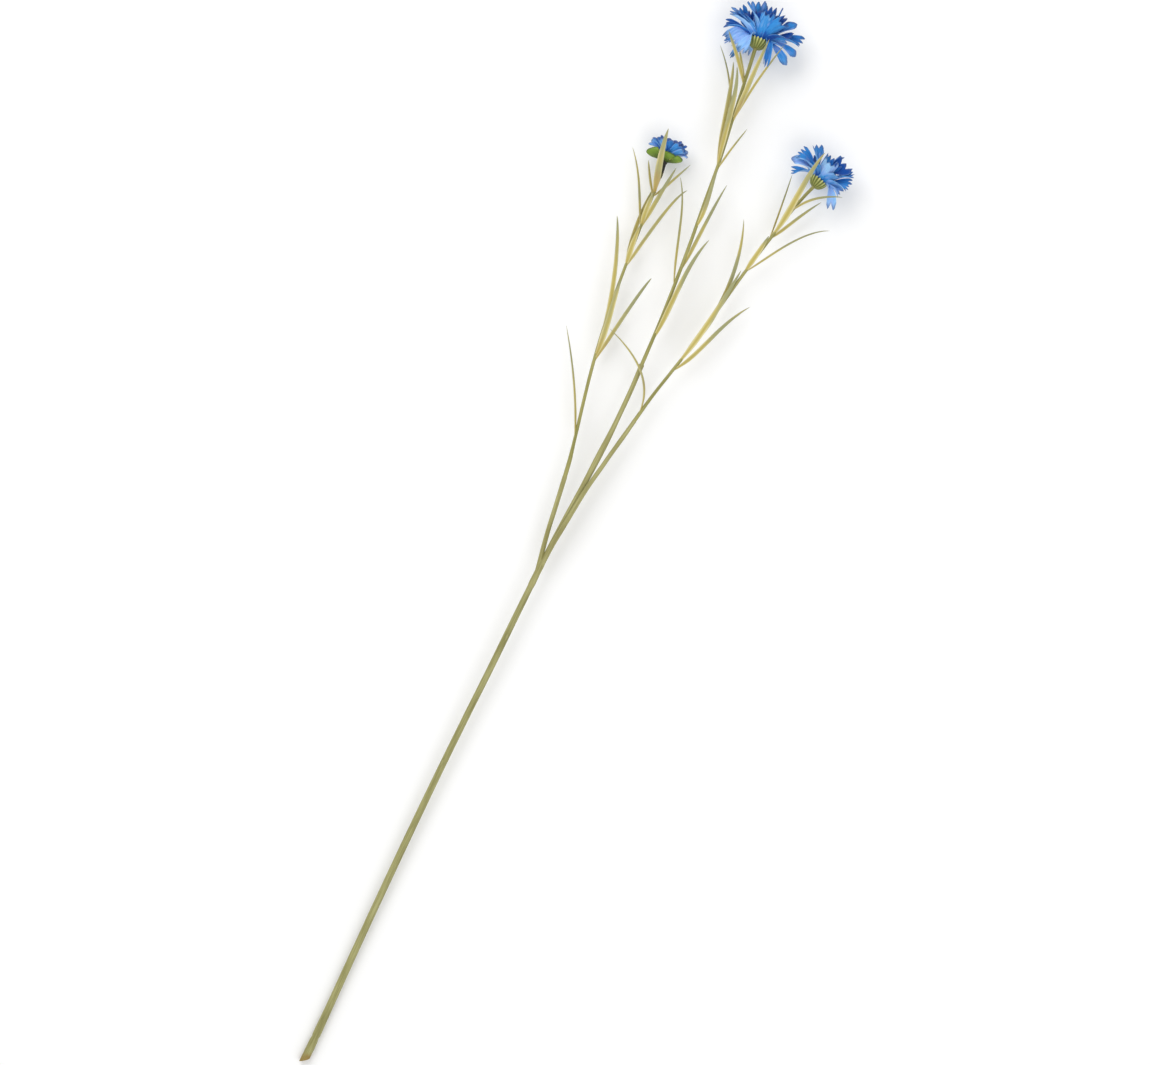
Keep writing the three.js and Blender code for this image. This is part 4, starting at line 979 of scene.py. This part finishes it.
def calyx_finish(name, rib_colour, body_colour, groove_shade):
    """Mottled green, pale on the ribs' tops, with painted shade darkening the grooves."""
    def build(tree):
        rib, rise = attribute(tree, "rib", "Fac"), attribute(tree, "rise", "Fac")
        mottle = noise(object_place(tree), 700.0, 3.0) - 0.5
        # painted shade: the grooves between the ribs are mixed towards the darker groove colour
        body = mixed(tree, ramp(rib + mottle * 0.7, 0.1, 0.75), groove_shade, body_colour)
        crown = ramp(rib * 0.55 + rise * 0.6 + mottle * 0.3, 0.72, 0.98)
        rough = ramp(noise(object_place(tree), 300.0), 0.3, 0.7, 0.5, 0.65)
        return mixed(tree, crown, body, rib_colour), noise(object_place(tree), 1200.0, 3.0), rough

    return finish_material(name, build, 0.0002, Specular_IOR_Level=0.35)


def sepal_finish(name, fresh, dark_edge_and_shade, spot_colour):
    """Fresh green, dark round its edge, with painted shade darkening it towards its foot, and a few
    tan spots.
    """
    def build(tree):
        weave = attribute(tree, "weave")
        u, v, _ = parts(attribute(tree, "sheet"))
        streak = noise(weave * (1.4, 0.3, 1.0), 1.0, 3.0) - 0.5
        border = ramp(most(absolute(u), v) + streak * 0.16, 0.86, 1.0, 0.0, 0.75)
        body = mixed(tree, border, fresh, dark_edge_and_shade)
        # painted shade: darker towards the sepal's foot at the seat, under the bud
        body = mixed(tree, ramp(v + streak * 0.5, 0.1, 0.75, 0.8, 0.0), body, dark_edge_and_shade)
        body = mixed(tree, ramp(noise(weave * 0.35, 1.0), 0.6, 0.75, 0.0, 0.7), body, spot_colour)
        height = noise(weave * (2.6, 0.3, 1.0), 1.0, 3.0)
        return body, height, ramp(noise(weave, 1.0), 0.3, 0.7, 0.38, 0.55)

    return finish_material(name, build, 0.0003, Specular_IOR_Level=0.45)


def steel_finish():
    """Plain drawn wire."""
    def build(tree):
        place = object_place(tree)
        lines = noise(place * (900.0, 30.0, 900.0), 1.0)
        body = mixed(tree, lines, (0.3, 0.29, 0.27), (0.5, 0.49, 0.47))
        height = noise(place * (3000.0, 60.0, 3000.0), 1.0)
        return body, height, ramp(noise(place, 500.0), 0.3, 0.7, 0.3, 0.5)

    return finish_material("drawn_wire", build, 0.00005, Metallic=1.0)


# ---- settings --------------------------------------------------------------------------------


def colour_setting(label, about, default):
    """A colour that a user can change, red, green and blue in linear light."""
    return FloatVectorProperty(name=label, description=about, default=default, size=3, min=0, max=1,
                               subtype="COLOR")


class StemSettings(bpy.types.PropertyGroup):
    """Sizes and colours of the stems."""

    sides: IntProperty(name="Sides", description="Faces round a stem", default=20, min=8, max=48)
    step: FloatProperty(name="Ring spacing", description="Gap between rings in mm", default=1.2,
                        min=0.4, max=5)
    base: colour_setting("Olive", "Main colour of the stems", srgb(167, 164, 110))
    shade: colour_setting("Shade", "Colour between the fibres", srgb(126, 122, 68))
    joint: colour_setting("Joint tint", "Brown where two mouldings meet", srgb(142, 120, 60))


class LeafSettings(bpy.types.PropertyGroup):
    """Sizes and colours of the leaves."""

    thickness: FloatProperty(name="Thickness", description="At the rib, in mm", default=0.9,
                             min=0.3, max=1.5)
    base: colour_setting("Ochre", "Colour along the rib", srgb(186, 170, 88))
    pale: colour_setting("Pale edge", "Colour towards the edges", srgb(214, 204, 152))
    tip: colour_setting("Tip", "Grey-green of the tips", srgb(158, 158, 112))
    rust: colour_setting("Rust", "Tan patches", srgb(182, 138, 74))


class PetalSettings(bpy.types.PropertyGroup):
    """Sizes and colours of the cloth petals."""

    thickness: FloatProperty(name="Thickness", description="Of the cloth in mm", default=0.3,
                             min=0.1, max=0.6)
    ruffle: FloatProperty(name="Ruffle", description="Height of the rim's waves in mm", default=0.4,
                          min=0, max=1)
    pleat: FloatProperty(name="Pleat", description="Depth of the lengthwise folds in mm",
                         default=0.16, min=0, max=0.5)
    pale: colour_setting("Pale", "Palest cloth", srgb(152, 200, 245))
    mid: colour_setting("Mid", "Most of the cloth", srgb(50, 140, 214))
    # deep is the cloth's deep blue and also the colour of the painted shade on the petals
    deep: colour_setting("Deep", "In the folds", srgb(0, 72, 158))
    dusk: colour_setting("Dusk", "Grey-lilac of the tips", srgb(76, 98, 146))
    lilac: colour_setting("Lilac", "Washes of lilac", srgb(158, 180, 240))


class StageSettings(bpy.types.PropertyGroup):
    """Floor, light and camera."""

    floor: colour_setting("Floor", "Pale surface that the spray lies on", (0.9, 0.9, 0.9))
    light: FloatProperty(name="Light", description="Power of each soft light", default=12.0, min=0,
                         unit="POWER")
    view_width: FloatProperty(name="View width", description="Width of the view at the spray",
                              default=0.649, min=0.1, unit="LENGTH")


# ---- operators -------------------------------------------------------------------------------


def shared(name, build):
    """A tree that several operators use, made once."""
    return bpy.data.node_groups.get(name) or build()


def stem_values(scene, material, **more):
    """Inputs of the rod tree from the stem's settings."""
    settings = scene.cornflower_stem
    return {"Step": settings.step, "Sides": settings.sides, "Material": material, **more}


class CORNFLOWER_OT_stem(bpy.types.Operator):
    """Main stem with its slanted cut end"""

    bl_idname = "cornflower.stem"
    bl_label = "Main Stem"

    def execute(self, context):
        settings = context.scene.cornflower_stem
        finish = stem_finish("stem_sleeve", settings.base, settings.shade, settings.joint)
        rods = shared("Rods", rod_tree)

        def tint(k, i, route):
            if k > 0 or i not in (0, STEM_KINK, len(route) - 1):
                return 0.0
            return 0.3 if i > 0 else 1.0

        nubs = [[[x, y + along, z + up, radius] for along, up, radius in NUB_SHAPE]
                for x, y, z in NUB_PLACES]
        mesh = rods_mesh("main_stem_sleeve", [MAIN_STEM, *nubs], rods,
                         stem_values(context.scene, finish, Slant=CUT_SLANT), tint)
        piece("main_stem_sleeve", [mesh], ["main_stem"])
        wire_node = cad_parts["stem_wire"]
        wire_node.data.materials.clear()
        wire_node.data.materials.append(steel_finish())
        return {"FINISHED"}


class CORNFLOWER_OT_fork(bpy.types.Operator):
    """Moulded fork with its three arms"""

    bl_idname = "cornflower.fork"
    bl_label = "Fork"

    def execute(self, context):
        settings = context.scene.cornflower_stem
        finish = stem_finish("fork_moulding", srgb(172, 168, 112), srgb(130, 124, 70),
                             settings.joint)
        rods = shared("Rods", rod_tree)

        def tint(k, i, route):
            return 0.35 if i == len(route) - 1 or (k == 0 and i < 2) else 0.0

        mesh = rods_mesh("fork_arms", [FORK_FOOT, LEFT_ARM, CENTRE_ARM, RIGHT_ARM], rods,
                         stem_values(context.scene, finish), tint)
        piece("fork_arms", [mesh], ["fork"])
        return {"FINISHED"}


class CORNFLOWER_OT_sprigs(bpy.types.Operator):
    """Three leafy sprigs"""

    bl_idname = "cornflower.sprigs"
    bl_label = "Leafy Sprigs"

    def execute(self, context):
        stems, leaves = context.scene.cornflower_stem, context.scene.cornflower_leaf
        stem_look = stem_finish("sprig_stem", srgb(168, 162, 98), srgb(126, 124, 62), stems.joint)
        leaf_look = leaf_finish("leaf_blade", leaves.base, leaves.pale, leaves.tip, leaves.rust)
        rods, blades = shared("Rods", rod_tree), shared("Leaf blades", leaf_tree)

        def plug(head):
            bottom = -RIM_DROP - head["depth"]
            return [[*on_axis(head, bottom + rise), head["plug"]]
                    for rise in (-PLUG_SHANK, PLUG_TIP)]

        routes = {
            "left": (LEFT_SPRIG, LEFT_LEAVES),
            "centre": (CENTRE_SPRIG + plug(TOP_BLOOM), CENTRE_LEAVES),
            "right": (RIGHT_SPRIG + plug(RIGHT_BLOOM), RIGHT_LEAVES),
        }
        for k, (side, (route, leaf_rows)) in enumerate(routes.items()):
            name = f"{side}_sprig_leaves"
            stem = rods_mesh(name + "_stem", [route], rods, stem_values(context.scene, stem_look),
                             lambda _, i, __: 0.3 if i == 0 else 0.0)
            blade = leaves_mesh(name, leaf_rows, blades,
                                {"Thickness": leaves.thickness, "Material": leaf_look}, 31.0 * k)
            piece(name, [stem, blade], [f"{side}_sprig"])
        return {"FINISHED"}


class CORNFLOWER_OT_calyxes(bpy.types.Operator):
    """Ribbed calyx under each open bloom"""

    bl_idname = "cornflower.calyxes"
    bl_label = "Calyxes"

    def execute(self, context):
        cups = shared("Calyx cup", calyx_tree)
        # the third colour is painted shade for the calyx grooves
        finish = calyx_finish("calyx_ribs", srgb(198, 202, 132), srgb(146, 150, 80),
                              srgb(94, 102, 42))
        for name, head in (("top_bloom", TOP_BLOOM), ("right_bloom", RIGHT_BLOOM)):
            values = {"Centre": tuple(on_axis(head, -RIM_DROP)), "Axis": tuple(head_axis(head)),
                      "Rim radius": float(head["rim"]), "Depth": head["depth"],
                      "Ribs": float(head["ribs"]), "Around": 12 * head["ribs"] + 1,
                      "Material": finish}
            mesh = evaluated(name, points_mesh(name, [(0, 0, 0)]), cups, values)
            piece(name + "_cup", [mesh], [name + "_calyx"])
        return {"FINISHED"}


def petal_values(scene, head, material, **more):
    """Inputs of the petal tree from a head and the petals' settings."""
    settings = scene.cornflower_petal
    return {"Thickness": settings.thickness, "Ruffle": settings.ruffle, "Pleat": settings.pleat,
            "Centre": tuple(on_axis(head, -CORE_DROP)), "Axis": tuple(head_axis(head)),
            "Heart": head["core"] * CORE_FILL, "Heart height": head["core"] * CORE_STRETCH,
            "Material": material, **more}


class CORNFLOWER_OT_blooms(bpy.types.Operator):
    """Cloth petals of the two open blooms"""

    bl_idname = "cornflower.blooms"
    bl_label = "Open Blooms"

    def execute(self, context):
        s = context.scene.cornflower_petal
        finish = petal_finish("petal_cloth", s.pale, s.mid, s.deep, s.dusk, s.lilac)
        cloth = shared("Petals", lambda: cloth_tree("Petals", flared, toothed_rim))
        for name, head in (("top_bloom", TOP_BLOOM), ("right_bloom", RIGHT_BLOOM)):
            mesh = petals_mesh(name, head, cloth, petal_values(context.scene, head, finish))
            piece(name + "_cloth", [mesh], [name + "_petals"])
        return {"FINISHED"}


class CORNFLOWER_OT_bud(bpy.types.Operator):
    """Half-open bud with its neck and sepals"""

    bl_idname = "cornflower.bud"
    bl_label = "Bud"

    def execute(self, context):
        s = context.scene.cornflower_petal
        # root=0.75 lets the painted shade at the bud's petal feet reach three quarters of the way
        # up
        look = petal_finish("bud_cloth", srgb(170, 210, 250), srgb(66, 146, 220), srgb(6, 74, 156),
                            srgb(104, 112, 150), s.lilac, root=0.75)
        cloth = shared("Petals", lambda: cloth_tree("Petals", flared, toothed_rim))
        mesh = petals_mesh("bud", LEFT_BUD, cloth,
                           petal_values(context.scene, LEFT_BUD, look, Ruffle=0.2))
        piece("left_bud_cloth", [mesh], ["left_bud_petals"])
        # the second colour is the sepals' dark border and also their painted shade at the foot
        green = sepal_finish("sepal_green", srgb(112, 144, 38), srgb(44, 60, 14),
                             srgb(172, 150, 50))
        seat = -LEFT_BUD["sepal_drop"]

        cups = shared("Sepals", lambda: cloth_tree("Sepals", sepal_outline, sepal_rim))
        mesh = sepals_mesh("bud_sepals", LEFT_BUD, cups,
                           {"Thickness": 0.7, "Ruffle": 0.1, "Pleat": 0.03, "Material": green,
                            "Heart": 2.1, "Heart height": 2.1, "Axis": tuple(head_axis(LEFT_BUD)),
                            "Centre": tuple(on_axis(LEFT_BUD, seat - SEAT_DROP))})
        piece("left_bud_cup", [mesh], ["left_bud_sepals"])
        rods = shared("Rods", rod_tree)
        dark = stem_finish("neck_dark", srgb(32, 27, 10), srgb(13, 11, 5), srgb(96, 92, 44))
        flare = [[*on_axis(LEFT_BUD, seat - NECK_DROP + rise), radius]
                 for rise, radius in ((-1.0, 1.85), (0.4, 2.2))]
        mesh = rods_mesh("left_bud_stalk", [BUD_NECK + flare], rods,
                         stem_values(context.scene, dark, Step=0.5),
                         lambda _, i, __: (1.0, 0.9, 0.0)[min(i, 2)])
        piece("left_bud_stalk", [mesh], ["left_bud_neck"])
        return {"FINISHED"}


class CORNFLOWER_OT_stage(bpy.types.Operator):
    """Pale floor, soft light and the camera"""

    bl_idname = "cornflower.stage"
    bl_label = "Stage"

    def execute(self, context):
        settings = context.scene.cornflower_stage
        mesh = bpy.data.meshes.new("floor")
        mesh.from_pydata([(x * FLOOR_HALF, y * FLOOR_HALF, 0)
                          for x, y in ((-1, -1), (1, -1), (1, 1), (-1, 1))], [], [(0, 1, 2, 3)])
        floor = bpy.data.objects.new("floor", mesh)
        context.scene.collection.objects.link(floor)
        material = bpy.data.materials.new("pale_floor")
        material.use_nodes = True
        shader = material.node_tree.nodes["Principled BSDF"]
        shader.inputs["Base Color"].default_value = (*settings.floor, 1)
        shader.inputs["Roughness"].default_value = 0.9
        mesh.materials.append(material)
        world = bpy.data.worlds.new("soft_room")
        world.use_nodes = True
        world.node_tree.nodes["Background"].inputs[0].default_value = (1, 1, 1, 1)
        world.node_tree.nodes["Background"].inputs[1].default_value = 0.75
        context.scene.world = world
        for x, y, power in LAMPS:
            light = bpy.data.lights.new("soft_light", "AREA")
            light.size = LAMP_SIZE
            light.energy = settings.light * power
            lamp = bpy.data.objects.new("soft_light", light)
            lamp.location = (x, y, LAMP_HEIGHT)
            lamp.rotation_euler = (-lamp.location).to_track_quat("-Z", "Y").to_euler()
            context.scene.collection.objects.link(lamp)
        lens = bpy.data.cameras.new("camera")
        lens.lens = LENS_LENGTH
        lens.sensor_width = SENSOR_WIDTH
        camera = bpy.data.objects.new("camera", lens)
        distance = settings.view_width * LENS_LENGTH / SENSOR_WIDTH
        camera.location = DRAWING_ORIGIN + Vector(VIEW_CENTRE) * MM + UP * distance
        camera.rotation_euler = (0, 0, math.radians(VIEW_TURN))
        context.scene.collection.objects.link(camera)
        context.scene.camera = camera
        context.scene.view_settings.view_transform = "Standard"
        return {"FINISHED"}


OPERATORS = (CORNFLOWER_OT_stem, CORNFLOWER_OT_fork, CORNFLOWER_OT_sprigs, CORNFLOWER_OT_calyxes,
             CORNFLOWER_OT_blooms, CORNFLOWER_OT_bud, CORNFLOWER_OT_stage)
SETTINGS = {"cornflower_stem": StemSettings, "cornflower_leaf": LeafSettings,
            "cornflower_petal": PetalSettings, "cornflower_stage": StageSettings}


class CORNFLOWER_PT_panel(bpy.types.Panel):
    """Settings and steps of the cornflower spray"""

    bl_idname = "CORNFLOWER_PT_panel"
    bl_label = "Cornflower Spray"
    bl_space_type = "VIEW_3D"
    bl_region_type = "UI"
    bl_category = "Cornflower"

    def draw(self, context):
        for key, group in SETTINGS.items():
            box = self.layout.box()
            for name in group.__annotations__:
                box.prop(getattr(context.scene, key), name)
        for operator in OPERATORS:
            self.layout.operator(operator.bl_idname)


def register():
    """Adds the settings, the operators and the panel."""
    for cls in (*SETTINGS.values(), *OPERATORS, CORNFLOWER_PT_panel):
        bpy.utils.register_class(cls)
    for key, group in SETTINGS.items():
        setattr(bpy.types.Scene, key, PointerProperty(type=group))


def unregister():
    """Takes away what register adds."""
    for key in SETTINGS:
        delattr(bpy.types.Scene, key)
    for cls in reversed((*SETTINGS.values(), *OPERATORS, CORNFLOWER_PT_panel)):
        bpy.utils.unregister_class(cls)


def main():
    """Builds the spray piece by piece."""
    register()
    for operator in OPERATORS:
        group, name = operator.bl_idname.split(".")
        getattr(getattr(bpy.ops, group), name)()


if __name__ == "__main__":
    main()
